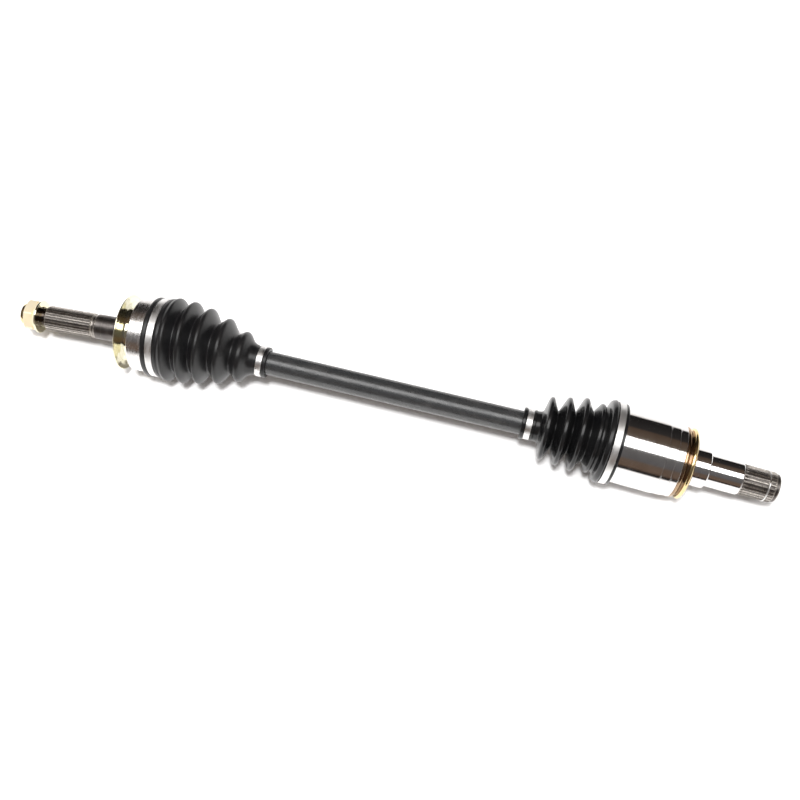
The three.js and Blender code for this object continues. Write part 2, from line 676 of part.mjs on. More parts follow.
add(housingFrame, "inner_housing", innerHousing(), materials.groundSteel);
add(housingFrame, "housing_stop_ring", stopRing(), materials.springSteel);
add(housingFrame, "dust_deflector", dustDeflector(), materials.yellowZinc);
add(housingFrame, "stub_circlip", stubCirclip(), materials.springSteel);

// ---- Boots and clamps --------------------------------------------------------------------------------

// Bends a boot that was made straight along the bar: no turn at the bar end, the joint's turn at the other
function bendToJoint(geometry, centreX, turn, [barEndX, jointEndX]) {
  const position = geometry.attributes.position;
  const point = new THREE.Vector3();
  const none = new THREE.Quaternion();
  const partTurn = new THREE.Quaternion();
  for (let index = 0; index < position.count; index += 1) {
    point.fromBufferAttribute(position, index);
    const share = THREE.MathUtils.smoothstep((point.x - barEndX) / (jointEndX - barEndX), 0, 1);
    partTurn.slerpQuaternions(none, turn, share);
    point.x -= centreX;
    point.applyQuaternion(partTurn);
    point.x += centreX;
    position.setXYZ(index, point.x, point.y, point.z);
  }
  return geometry;
}

function foldsInside(folds) {
  return folds.map(([x, radius]) => [x, radius - BOOT_WALL]).reverse();
}

function outerBoot() {
  const cuffR = BELL_R * FACET_ROOM + GAP;
  const neckR = BAR_R + GAP;
  return turnedRing([
    [-285, cuffR], ...OUTER_BOOT_CUFF, ...OUTER_BOOT_FOLDS, ...OUTER_BOOT_NECK,
    [-152, neckR], [-168.5, neckR], ...foldsInside(OUTER_BOOT_FOLDS), [-264.5, 42.2], [-266, cuffR],
  ]);
}

function innerBoot() {
  const cuffR = HOUSING_R * FACET_ROOM + GAP;
  const neckR = BAR_R + GAP;
  return turnedRing([
    ...INNER_BOOT_NECK, ...INNER_BOOT_FOLDS, ...INNER_BOOT_CUFF,
    [239, cuffR], [225, cuffR], ...foldsInside(INNER_BOOT_FOLDS),
    [154, neckR], [INNER_BOOT_NECK[0][0], neckR],
  ]);
}

// Flat steel band with the raised, crimped ear that tightens it, placed from the centre of its frame
function clamp(place, strip, frameX = 0) {
  const from = place.from - frameX;
  const to = place.to - frameX;
  const band = ring(from, to, place.grip, place.grip + strip.thick);
  const earBase = place.grip + strip.thick / 2;
  const earTop = strip.earHeight + strip.thick / 2;
  const ear = new THREE.BoxGeometry(to - from - 0.6, strip.earLength, earTop);
  ear.translate((from + to) / 2, 0, earBase + earTop / 2);
  ear.rotateX(place.ear);
  return join([band, ear]);
}

function turnOf(...turns) {
  const turn = new THREE.Quaternion();
  for (const [axis, angle] of turns) {
    turn.multiply(new THREE.Quaternion().setFromAxisAngle(axis, angle));
  }
  return turn;
}

const Y_AXIS = new THREE.Vector3(0, 1, 0);
const Z_AXIS = new THREE.Vector3(0, 0, 1);
const outerTurn = turnOf([Y_AXIS, OUTER_DROOP / 2], [Z_AXIS, OUTER_YAW], [Y_AXIS, OUTER_DROOP / 2]);
const innerTurn = turnOf([Z_AXIS, INNER_YAW], [Y_AXIS, INNER_DROOP]);

const outerBootBent = bendToJoint(outerBoot(), OUTER_CENTRE, outerTurn, OUTER_BOOT_BEND);
const innerBootBent = bendToJoint(innerBoot(), INNER_CENTRE, innerTurn, INNER_BOOT_BEND);
const outerLargeClamp = clamp(OUTER_LARGE_CLAMP, LARGE_CLAMP_STRIP, OUTER_CENTRE);
const innerLargeClamp = clamp(INNER_LARGE_CLAMP, LARGE_CLAMP_STRIP, INNER_CENTRE);

add(bar, "outer_boot", outerBootBent, materials.bootRubber);
add(bar, "inner_boot", innerBootBent, materials.bootRubber);
add(bar, "outer_boot_small_clamp", clamp(OUTER_SMALL_CLAMP, SMALL_CLAMP_STRIP), materials.stainless);
add(bar, "inner_boot_small_clamp", clamp(INNER_SMALL_CLAMP, SMALL_CLAMP_STRIP), materials.stainless);
add(outerRaceFrame, "outer_boot_large_clamp", outerLargeClamp, materials.stainless);
add(housingFrame, "inner_boot_large_clamp", innerLargeClamp, materials.stainless);

// ---- Placing: the origin is under the middle of the axle, on the surface it lies on ------------------

const box = new THREE.Box3().setFromObject(axle, true);
const middle = box.getCenter(new THREE.Vector3());
bar.position.set(-middle.x, -middle.y, -box.min.z);

export default axle;
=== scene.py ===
"""Looks of a car drive axle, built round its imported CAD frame.

Sections and sizes are in millimetres, each in its own frame: the bar's, the hub stub's (+X points
outward along the stub) or the gearbox housing's (+X points towards the gearbox).
"""

import json
import math

import bmesh
import bpy
import numpy as np
from mathutils import Matrix, Quaternion, Vector


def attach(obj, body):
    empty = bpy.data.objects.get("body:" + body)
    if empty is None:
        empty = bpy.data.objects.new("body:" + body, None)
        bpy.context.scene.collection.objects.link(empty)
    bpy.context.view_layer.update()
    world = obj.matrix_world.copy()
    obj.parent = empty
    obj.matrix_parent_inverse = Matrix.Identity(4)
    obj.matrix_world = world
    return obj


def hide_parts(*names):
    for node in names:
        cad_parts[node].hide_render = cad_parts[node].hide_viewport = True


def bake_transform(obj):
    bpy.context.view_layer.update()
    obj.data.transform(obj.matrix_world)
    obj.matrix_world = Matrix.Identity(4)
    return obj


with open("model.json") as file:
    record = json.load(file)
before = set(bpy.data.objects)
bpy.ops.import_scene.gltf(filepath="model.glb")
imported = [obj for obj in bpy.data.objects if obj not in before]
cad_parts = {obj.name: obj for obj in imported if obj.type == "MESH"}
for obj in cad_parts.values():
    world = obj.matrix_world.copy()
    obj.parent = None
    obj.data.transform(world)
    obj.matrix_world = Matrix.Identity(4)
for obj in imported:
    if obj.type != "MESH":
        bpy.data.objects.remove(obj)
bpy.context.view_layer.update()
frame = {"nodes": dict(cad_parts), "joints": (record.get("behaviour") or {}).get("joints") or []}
scene = bpy.context.scene
MM = 0.001

# ---- Dimensions shared with the CAD model ----

OUTER_CENTRE = -283
INNER_CENTRE = 258
OUTER_DROOP = math.radians(-3.3)
OUTER_YAW = math.radians(2.1)
INNER_DROOP = math.radians(3.3)
INNER_YAW = math.radians(-1.2)

BAR_R = 13.2
BAR_END_R = 11.2
BAR_SPLINE_TEETH = 24
BAR_SPLINE_DEPTH = 0.9
BAR_CLIP_WIDTH = 1.5
BAR_CLIP_DEPTH = 1.6

BALL_R = 8.2
BALL_PITCH_R = 28
BALL_COUNT = 6
GROOVE_HALF_DEPTH = 9.4
GROOVE_HALF_WIDTH = 10.4
RACE_CAVITY_R = 32
INNER_RACE_R = 24.4
INNER_RACE_HALF = 11
RACE_BORE_R = 11.6
BELL_R = 41
BELL_HALF = 19
BEARING_FACE = 34.5
NECK_R = 14
SHIELD_R = 42.4
HUB_SPLINE_TEETH = 27
HUB_SPLINE_TO = 129.5
HUB_SPLINE_R = 13.95
HUB_SPLINE_DEPTH = 1.1
THREAD_R = 10.9
THREAD_PITCH = 1.5
STUB_END = 156.6
NUT_FACE = 137.2
NUT_LENGTH = 21
NUT_COLLAR_LENGTH = 4.6
NUT_ACROSS_FLATS = 32
NUT_CORNER_R = 18.1
NUT_BORE_R = 11.2
NUT_TURN = math.radians(10.6)
WASHER_THICK = 1.8

ROLLER_R = 15.5
ROLLER_HALF = 6
ROLLER_BORE_R = 12.3
ROLLER_PITCH_R = 24
NEEDLE_R = 1.3
NEEDLE_COUNT = 25
TRUNNION_R = 9
TRUNNION_TIP = 32.6
TRACK_HALF_WIDTH = 17.2
TRACK_FLOOR_R = 36.6
HOUSING_R = 41
RING_SEAT_R = 34.9
HOUSING_MOUTH = -31
HOUSING_FLOOR = 42
GEARBOX_SPLINE_TEETH = 26
GEARBOX_BOSS_R = 21.3
GEARBOX_BOSS_END = 78.6
GEARBOX_STUB_R = 18.1
GEARBOX_SPLINE_FROM = 116.6
GEARBOX_SPLINE_TO = 150.6
GEARBOX_CLIP_FROM = 142.2
GEARBOX_END = 155
GEARBOX_SPLINE_R = 16.6
GEARBOX_SPLINE_DEPTH = 1.2

# ---- Frames, all taken from the joints ----

joints = {joint["name"]: joint for joint in frame["joints"]}


def placed(origin, x_axis, y_axis):
    x = Vector(x_axis).normalized()
    z = x.cross(Vector(y_axis)).normalized()
    matrix = Matrix((x, z.cross(x), z)).transposed().to_4x4()
    matrix.translation = origin
    return matrix


def turned(origin, turn):
    return Matrix.Translation(origin) @ turn.to_matrix().to_4x4()


outer_centre = Vector(joints["outer_pitch"]["pos_m"])
inner_centre = Vector(joints["inner_yaw"]["pos_m"])
bar_middle = outer_centre - Vector((OUTER_CENTRE * MM, 0, 0))
BAR = placed(bar_middle, (1, 0, 0), (0, 1, 0))
STUB = placed(outer_centre, joints["nut_travel"]["axis"], -Vector(joints["outer_pitch_far"]["axis"]))
HOUSING = placed(inner_centre, joints["plunge"]["axis"], joints["inner_pitch"]["axis"])
HALF_DROOP = Quaternion((0, 1, 0), OUTER_DROOP / 2)
OUTER_TURN = HALF_DROOP @ Quaternion((0, 0, 1), OUTER_YAW) @ HALF_DROOP
INNER_TURN = Quaternion((0, 0, 1), INNER_YAW) @ Quaternion((0, 1, 0), INNER_DROOP)
PIVOT = turned(outer_centre, HALF_DROOP)
CAGE = turned(outer_centre, HALF_DROOP @ Quaternion((0, 0, 1), OUTER_YAW / 2))
BELL = turned(outer_centre, OUTER_TURN)
SPIDER = Matrix.Translation(inner_centre)

# ---- Camera ----

AZIMUTH = math.radians(14.286)
ELEVATION = math.radians(68)
CAMERA_DISTANCE = 1.14796
CAMERA_AIM = bar_middle + Vector((0, -0.0069, 0))

camera = bpy.data.objects.new("camera", bpy.data.cameras.new("camera"))
camera.data.lens = 47.25
camera.data.sensor_width = 36
camera.data.clip_start = 0.01
back = Vector((
    math.sin(AZIMUTH) * math.cos(ELEVATION),
    -math.cos(AZIMUTH) * math.cos(ELEVATION),
    math.sin(ELEVATION),
))
camera.location = CAMERA_AIM + back * CAMERA_DISTANCE
camera.rotation_mode = "QUATERNION"
camera.rotation_quaternion = (-back).to_track_quat("-Z", "Y")
scene.collection.objects.link(camera)
scene.camera = camera

# ---- Materials ----


class Graph:
    """A material's node tree, with short calls for the few nodes that these finishes use."""

    def __init__(self, name):
        self.material = bpy.data.materials.new(name)
        self.material.use_nodes = True
        self.tree = self.material.node_tree
        self.shader = self.tree.nodes["Principled BSDF"]

    def link(self, value, socket):
        if isinstance(value, bpy.types.NodeSocket):
            self.tree.links.new(value, socket)
        else:
            socket.default_value = value

    def attribute(self, name):
        found = self.tree.nodes.new("ShaderNodeAttribute")
        found.attribute_name = name
        return found

    def scaled(self, vector, scale):
        mapping = self.tree.nodes.new("ShaderNodeMapping")
        self.link(vector, mapping.inputs["Vector"])
        mapping.inputs["Scale"].default_value = scale
        return mapping.outputs["Vector"]

    def noise(self, vector, scale, detail=2.0, roughness=0.5):
        texture = self.tree.nodes.new("ShaderNodeTexNoise")
        self.link(vector, texture.inputs["Vector"])
        texture.inputs["Scale"].default_value = scale
        texture.inputs["Detail"].default_value = detail
        texture.inputs["Roughness"].default_value = roughness
        return texture.outputs["Fac"]

    def between(self, value, low, high, to_low=0.0, to_high=1.0):
        remap = self.tree.nodes.new("ShaderNodeMapRange")
        self.link(value, remap.inputs["Value"])
        remap.inputs["From Min"].default_value = low
        remap.inputs["From Max"].default_value = high
        remap.inputs["To Min"].default_value = to_low
        remap.inputs["To Max"].default_value = to_high
        return remap.outputs["Result"]

    def mix(self, share, first, second):
        blend = self.tree.nodes.new("ShaderNodeMix")
        blend.data_type = "RGBA"
        self.link(share, blend.inputs["Factor"])
        self.link(first, blend.inputs["A"])
        self.link(second, blend.inputs["B"])
        return blend.outputs["Result"]

    def math(self, kind, first, second):
        node = self.tree.nodes.new("ShaderNodeMath")
        node.operation = kind
        self.link(first, node.inputs[0])
        self.link(second, node.inputs[1])
        return node.outputs[0]

    def bump(self, height, strength, distance, normal=None):
        node = self.tree.nodes.new("ShaderNodeBump")
        node.inputs["Strength"].default_value = strength
        node.inputs["Distance"].default_value = distance
        self.link(height, node.inputs["Height"])
        if normal is not None:
            self.link(normal, node.inputs["Normal"])
        return node.outputs["Normal"]

    def set(self, name, value):
        self.link(value, self.shader.inputs[name])


def colour(red, green, blue):
    """The colour as Blender's sockets want it, with an alpha of 1."""
    return (red, green, blue, 1.0)


def metal(name, base, tint, edge, *, roughness, rings, grain, edge_share=0.6, metallic=1.0):
    """A metal finish: patches of tint over base, brighter edges, turning rings and fine grain. The brighter
    edges are wear, and on the dark oiled steel's teeth and thread ridges also a painted highlight.

    rings and grain are the depths of the two reliefs in millimetres. A plated finish is less than
    fully metallic.
    """
    graph = Graph(name)
    local = graph.attribute("local").outputs["Vector"]
    patches = graph.between(graph.noise(local, 55, 4.0, 0.6), 0.35, 0.65)
    specks = graph.noise(local, 900, 3.0, 0.6)
    body = graph.mix(patches, colour(*base), colour(*tint))
    on_edge = graph.attribute("edge").outputs["Fac"]
    # Edges painted lighter: wear, and on the dark oiled steel also a painted highlight on teeth and ridges
    lighter_edges = graph.math("MULTIPLY", on_edge, graph.between(specks, 0.3, 0.62))
    graph.set("Base Color", graph.mix(graph.math("MULTIPLY", lighter_edges, edge_share), body, colour(*edge)))
    graph.set("Metallic", metallic)
    smears = graph.noise(graph.scaled(local, (1.0, 0.25, 0.25)), 220, 5.0, 0.65)
    graph.set("Roughness", graph.between(smears, 0.3, 0.7, roughness * 0.75, roughness * 1.35))
    lines = graph.noise(graph.scaled(local, (1.0, 0.03, 0.03)), 2600, 3.0, 0.7)
    turned_relief = graph.bump(lines, 0.6, rings * MM)
    graph.set("Normal", graph.bump(specks, 0.5, grain * MM, turned_relief))
    return graph.material


def rubber(name, base, dust, roughness, grain):
    """A moulded elastomer: near-black, with a faint bloom in patches and a fine spark-eroded grain."""
    graph = Graph(name)
    local = graph.attribute("local").outputs["Vector"]
    bloom = graph.between(graph.noise(local, 38, 5.0, 0.65), 0.42, 0.75)
    fine = graph.noise(local, 2100, 2.0, 0.5)
    scuffs = graph.noise(graph.scaled(local, (1.0, 0.5, 0.5)), 160, 6.0, 0.7)
    on_edge = graph.attribute("edge").outputs["Fac"]
    crest = graph.math("MULTIPLY", on_edge, graph.between(scuffs, 0.45, 0.65))
    share = graph.math("MAXIMUM", graph.math("MULTIPLY", bloom, 0.45), graph.math("MULTIPLY", crest, 0.5))
    graph.set("Base Color", graph.mix(share, colour(*base), colour(*dust)))
    graph.set("Roughness", graph.between(scuffs, 0.3, 0.7, roughness * 0.88, roughness * 1.15))
    graph.set("Normal", graph.bump(fine, 0.5, grain * MM))
    graph.shader.inputs["Specular IOR Level"].default_value = 0.45
    return graph.material


def paint(name):
    """Satin black paint over a forged bar, with an orange-peel surface and a few dull rubs."""
    graph = Graph(name)
    local = graph.attribute("local").outputs["Vector"]
    peel = graph.noise(local, 620, 2.0, 0.5)
    rubs = graph.noise(graph.scaled(local, (0.4, 1.0, 1.0)), 70, 6.0, 0.7)
    streaks = graph.noise(graph.scaled(local, (0.3, 1.0, 1.0)), 340, 3.0, 0.6)
    rubbed = graph.between(rubs, 0.5, 0.72, 0.0, 0.7)
    graph.set("Base Color", graph.mix(rubbed, colour(0.024, 0.025, 0.026), colour(0.055, 0.053, 0.052)))
    graph.set("Roughness", graph.between(streaks, 0.35, 0.65, 0.22, 0.38))
    graph.shader.inputs["Specular IOR Level"].default_value = 0.9
    scale = graph.bump(peel, 0.35, 0.07 * MM)
    graph.set("Normal", graph.bump(graph.noise(local, 2400, 2.0), 0.3, 0.012 * MM, scale))
    return graph.material


finishes = {
    "ground": metal(
        "ground_steel", (0.80, 0.79, 0.785), (0.72, 0.705, 0.69), (0.95, 0.94, 0.93),
        roughness=0.10, rings=0.005, grain=0.0008,
    ),
    "lapped": metal(
        "lapped_steel", (0.74, 0.745, 0.76), (0.69, 0.69, 0.70), (0.9, 0.9, 0.9),
        roughness=0.07, rings=0.001, grain=0.0006,
    ),
    # Its teeth lands and thread ridges are painted much lighter: partly wear, partly a painted highlight
    "oiled": metal(
        "oiled_steel", (0.19, 0.172, 0.162), (0.12, 0.11, 0.105), (0.66, 0.61, 0.55),
        roughness=0.36, rings=0.006, grain=0.010, edge_share=0.8,
    ),
    "forged": metal(
        "forged_steel", (0.23, 0.215, 0.205), (0.15, 0.14, 0.135), (0.5, 0.48, 0.46),
        roughness=0.4, rings=0.003, grain=0.02,
    ),
    "stainless": metal(
        "stainless_strip", (0.86, 0.85, 0.84), (0.79, 0.78, 0.765), (0.95, 0.94, 0.93),
        roughness=0.40, rings=0.0, grain=0.003,
    ),
    "turned": metal(
        "turned_steel", (0.82, 0.80, 0.79), (0.74, 0.72, 0.70), (0.95, 0.94, 0.93),
        roughness=0.25, rings=0.012, grain=0.001,
    ),
    # Dark glossy thread neck; its warm tint is a painted reflection of the gold nut
    "neck": metal(
        "polished_neck", (0.075, 0.06, 0.05), (0.05, 0.042, 0.036), (0.5, 0.42, 0.3),
        roughness=0.16, rings=0.001, grain=0.002,
    ),
    # Brown for the housing's shoulder and the ring's seat: a painted reflection of the gold dust ring
    "painted_gold_reflection": metal(
        "shoulder_painted_reflection", (0.33, 0.22, 0.14), (0.22, 0.15, 0.10), (0.7, 0.5, 0.3),
        roughness=0.16, rings=0.001, grain=0.001,
    ),
    "spring": metal(
        "spring_steel", (0.30, 0.30, 0.31), (0.20, 0.2, 0.21), (0.6, 0.6, 0.6),
        roughness=0.28, rings=0.0, grain=0.004,
    ),
    "yellow": metal(
        "yellow_zinc", (0.86, 0.80, 0.56), (0.76, 0.73, 0.54), (0.96, 0.92, 0.74),
        roughness=0.10, rings=0.001, grain=0.002,
    ),
    "gold": metal(
        "gold_zinc", (0.80, 0.60, 0.28), (0.70, 0.56, 0.30), (0.95, 0.84, 0.55),
        roughness=0.15, rings=0.001, grain=0.002,
    ),
    "pale": metal(
        "pale_zinc", (0.98, 0.84, 0.56), (0.94, 0.82, 0.60), (1.0, 0.95, 0.80),
        roughness=0.42, rings=0.001, grain=0.004, metallic=0.45,
    ),
    "paint": paint("black_paint"),
    "boot": rubber(
        "boot_elastomer", (0.006, 0.006, 0.0065), (0.02, 0.019, 0.019),
        roughness=0.31, grain=0.008,
    ),
    "boot_gloss": rubber(
        "boot_rubber", (0.005, 0.005, 0.0055), (0.016, 0.016, 0.016),
        roughness=0.22, grain=0.004,
    ),
}

# ---- Mesh building ----


def rounded(section, radius=0.4, closed=False, steps=4):
    """The section with its corners rounded. A point may carry its own radius as a third number.

    Gives rows of x, radius and how much each lies on a corner. Points close to each side of a
    corner keep the flats flat.
    """
    points = [(*point, radius)[:3] for point in section]
    count = len(points)
    rows = []
    for index, (x, r, size) in enumerate(points):
        here = np.array((x, r), float)
        if not closed and index in (0, count - 1):
            rows.append((x, r, 0.0))
            continue
        before = np.array(points[index - 1][:2], float) - here
        after = np.array(points[(index + 1) % count][:2], float) - here
        length_before, length_after = np.linalg.norm(before), np.linalg.norm(after)
        before /= length_before
        after /= length_after
        trim = min(size, 0.42 * length_before, 0.42 * length_after)
        if before @ after < -0.995:
            rows.append((x, r, 0.0))
            continue
        margin_before = min(1.5 * trim, 0.49 * length_before)
        margin_after = min(1.5 * trim, 0.49 * length_after)
        rows.append((*(here + before * margin_before), 0.0))
        for step in range(steps + 1):
            t = step / steps
            near = here + before * trim * (1 - t) ** 2 + after * trim * t * t
            rows.append((*near, 1.0))
        rows.append((*(here + after * margin_after), 0.0))
    return rows


def finer(rows, longest, closed=False):
    """The rows with more between them, so that no two are further apart than longest."""
    ends = rows[1:] + (rows[:1] if closed else [])
    result = []
    for start, end in zip(rows, ends):
        parts = max(1, math.ceil(math.hypot(end[0] - start[0], end[1] - start[1]) / longest))
        for part in range(parts):
            share = part / parts
            result.append(tuple(a + (b - a) * share for a, b in zip(start, end)))
    if not closed:
        result.append(rows[-1])
    return result


def arc(radius, from_angle, to_angle, steps, centre=0.0):
    """Section points on a circle round [centre, 0], with polar angles measured from +X."""
    angles = np.linspace(from_angle, to_angle, steps + 1)
    return [(centre + radius * math.cos(a), radius * math.sin(a)) for a in angles]


class Shell:
    """Points, faces and attributes of one closed surface."""

    def __init__(self, points, faces, edge):
        self.points = np.asarray(points, float).reshape(-1, 3)
        self.faces = faces
        self.edge = np.asarray(edge, float).reshape(-1)

    def moved(self, matrix):
        turn = np.array(matrix.to_3x3())
        return Shell(self.points @ turn.T + np.array(matrix.translation), self.faces, self.edge)


def volume_sign(points, faces):
    quads = np.array([face if len(face) == 4 else (*face, face[2]) for face in faces])
    a, b, c, d = (points[quads[:, corner]] for corner in range(4))
    return float(np.einsum("ij,ij->", a, np.cross(b, c)) + np.einsum("ij,ij->", a, np.cross(c, d)))


def revolved(rows, sides=128, closed=False, reach=None, gap=0.0, first=0.0):
    """A body of revolution about X. Angles run from +Z towards +Y.

    reach(x, radius, angle) may return a new radius and edge share for every point. gap leaves an
    opening of that angle, capped at both ends.
    """
    rows = np.array(rows, float)
    whole = gap == 0
    span = math.tau if whole else math.tau - gap
    angles = first + gap / 2 + span * np.arange(sides) / (sides if whole else sides - 1)
    x = np.repeat(rows[:, :1], sides, 1)
    radius = np.repeat(rows[:, 1:2], sides, 1)
    edge = np.repeat(rows[:, 2:3], sides, 1) if rows.shape[1] > 2 else np.zeros_like(x)
    if reach is not None:
        radius, reached = reach(x, radius, angles[None, :] + 0 * x)
        edge = np.maximum(edge, reached)
    points = np.stack([x, radius * np.sin(angles), radius * np.cos(angles)], -1)
    count = len(rows)
    faces = []
    for row in range(count if closed else count - 1):
        near, far = row * sides, (row + 1) % count * sides
        for side in range(sides if whole else sides - 1):
            step = (side + 1) % sides
            faces.append((near + side, near + step, far + step, far + side))
    if not whole:
        faces.append(tuple(row * sides for row in range(count))[::-1])
        faces.append(tuple(row * sides + sides - 1 for row in range(count)))
    points = points.reshape(-1, 3)
    simple = [face for face in faces if len(face) == 4]
    if volume_sign(points, simple) < 0:
        faces = [face[::-1] for face in faces]
    return Shell(points, faces, edge)


def mesh_piece(name, shells, place, body, materials, nodes=(), sharp=40, banding=None):
    """One piece from its shells. banding(x, radius) picks each face's material by its middle."""
    points = np.concatenate([shell.points for shell in shells])
    edge = np.concatenate([shell.edge for shell in shells])
    faces = []
    start = 0
    for shell in shells:
        faces.extend(tuple(start + corner for corner in face) for face in shell.faces)
        start += len(shell.points)
    mesh = bpy.data.meshes.new(name)
    mesh.from_pydata((points * MM).tolist(), [], faces)
    local = mesh.attributes.new("local", "FLOAT_VECTOR", "POINT")
    local.data.foreach_set("vector", (points * MM).astype(np.float32).ravel())
    lighter_edges = mesh.attributes.new("edge", "FLOAT", "POINT")
    lighter_edges.data.foreach_set("value", edge.astype(np.float32))
    for material in materials:
        mesh.materials.append(material)
    if banding is not None:
        for polygon in mesh.polygons:
            middle = polygon.center / MM
            polygon.material_index = banding(middle.x, math.hypot(middle.y, middle.z))
    weld(mesh)
    mesh.polygons.foreach_set("use_smooth", [True] * len(mesh.polygons))
    mesh.set_sharp_from_angle(angle=math.radians(sharp))
    mesh.transform(place)
    piece = bpy.data.objects.new(name, mesh)
    scene.collection.objects.link(piece)
    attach(piece, body)
    if nodes:
        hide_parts(*nodes)
    return piece


def weld(mesh):
    """Merges the points that meet at a pole, and drops the faces that this leaves with no area."""
    work = bmesh.new()
    work.from_mesh(mesh)
    bmesh.ops.remove_doubles(work, verts=work.verts, dist=1e-7)
    bmesh.ops.dissolve_degenerate(work, edges=work.edges, dist=1e-8)
    work.to_mesh(mesh)
    work.free()


# ---- Shapes that vary round the axis ----


def smooth(value, low, high):
    t = np.clip((value - low) / (high - low), 0, 1)
    return t * t * (3 - 2 * t)


def tooth(angle, teeth):
    """1 on the top land of a tooth and 0 in its root, with rounded flanks."""
    phase = np.abs((angle * teeth / math.tau) % 1 - 0.5) * 2
    return smooth(phase, 0.28, 0.72)


def thread_reach(start, end, depth, pitch):
    def reach(x, radius, angle):
        phase = (x / pitch - angle / math.tau) % 1
        ridge = 1 - smooth(np.abs(phase - 0.5) * 2, 0.12, 0.92)
        share = smooth(x, start, start + pitch) * (1 - smooth(x, end - pitch * 0.6, end))
        return radius - depth * share * (1 - ridge), 0.7 * ridge * share

    return reach


def hexagon_reach(across_flats, corner_r, start, end):
    """Six flats between start and end, with rounded corners."""

    def reach(x, radius, angle):
        turn = (angle + math.pi / 6) % (math.pi / 3) - math.pi / 6
        flat = across_flats / 2 / np.cos(turn)
        inside = (x > start) & (x < end)
        trimmed = np.minimum(np.minimum(flat, corner_r), radius)
        corner = smooth(flat, corner_r - 0.8, corner_r)
        return np.where(inside, trimmed, radius), np.where(inside, corner * 0.8, 0)

    return reach


def groove_surface(x, angle, outermost):
    """How far from the axis the ball grooves reach, outermost or innermost, or nan beside them."""
    tries = np.linspace(16, 40, 241)
    pitch = math.tau / BALL_COUNT
    turn = (angle + pitch / 2) % pitch - pitch / 2
    away = tries[:, None, None] * np.cos(turn)[None]
    across = tries[:, None, None] * np.sin(turn)[None]
    depth = (np.hypot(x[None], away) - BALL_PITCH_R) / GROOVE_HALF_DEPTH
    inside = depth**2 + (across / GROOVE_HALF_WIDTH) ** 2 < 1
    found = inside.any(0)
    if outermost:
        index = len(tries) - 1 - inside[::-1].argmax(0)
    else:
        index = inside.argmax(0)
    return np.where(found, tries[index], np.nan)


def bell_reach(x, radius, angle):
    """Ball grooves in the bell's cavity, which leave the outside alone."""
    cavity = (radius < 36) & (x > -18.9) & (x < 22)
    groove = groove_surface(x, angle, True)
    deeper = cavity & (np.nan_to_num(groove) > radius)
    return np.where(deeper, np.nan_to_num(groove), radius), np.zeros_like(x)


def inner_race_reach(x, radius, angle):
    groove = groove_surface(x, angle, False)
    shallower = (radius > 15) & ~np.isnan(groove) & (np.nan_to_num(groove) < radius)
    return np.where(shallower, np.nan_to_num(groove), radius), np.zeros_like(x)


def track_reach(x, radius, angle):
    """Three roller tracks in the housing's bore, which leave the outside alone."""
    third = math.tau / 3
    turn = (angle + third / 2) % third - third / 2
    wall = TRACK_HALF_WIDTH / np.maximum(np.abs(np.sin(turn)), 1e-6)
    track = np.where(np.cos(turn) > 0, np.minimum(wall, TRACK_FLOOR_R), 0)
    bore = (radius < 35.5) & (x < HOUSING_FLOOR + 0.01) & (radius > 1)
    return np.where(bore, np.maximum(radius, track), radius), np.zeros_like(x)


# ---- Bar ----


def build_bar():
    """The bar: painted between the joints, and splined at each end with a groove for its clip."""
    outer_end, outer_seat = OUTER_CENTRE - 16, OUTER_CENTRE + 15
    inner_seat, inner_end = INNER_CENTRE - 15, INNER_CENTRE + 16
    section = [
        (outer_end, 0), (outer_end, BAR_END_R), (outer_seat - 3, BAR_END_R), (outer_seat, BAR_R),
        (inner_seat, BAR_R), (inner_seat + 3, BAR_END_R),
        (inner_end, BAR_END_R), (inner_end, 0),
    ]
    grooves = (outer_end + 1.5, inner_end - 3)

    def reach(x, radius, angle):
        splined = (x < outer_seat - 3) | (x > inner_seat + 3)
        land = tooth(angle, BAR_SPLINE_TEETH)
        cut = np.where(splined & (radius > 5), BAR_SPLINE_DEPTH * (1 - land), 0)
        for start in grooves:
            cut = np.where((x > start) & (x < start + BAR_CLIP_WIDTH), BAR_CLIP_DEPTH, cut)
        return np.where(radius > 0, radius - cut, 0), np.where(splined, land, 0)

    def banding(x, radius):
        return 0 if outer_seat - 4 < x < inner_seat + 4 else 1

    rows = finer(rounded(section, 0.8), 1.0)
    shell = revolved(rows, sides=BAR_SPLINE_TEETH * 8, reach=reach)
    materials = [finishes["paint"], finishes["oiled"]]
    mesh_piece("bar", [shell], BAR, "bar", materials, ["bar_shaft"], banding=banding)


# ---- Hub stub, shield, washer and nut ----


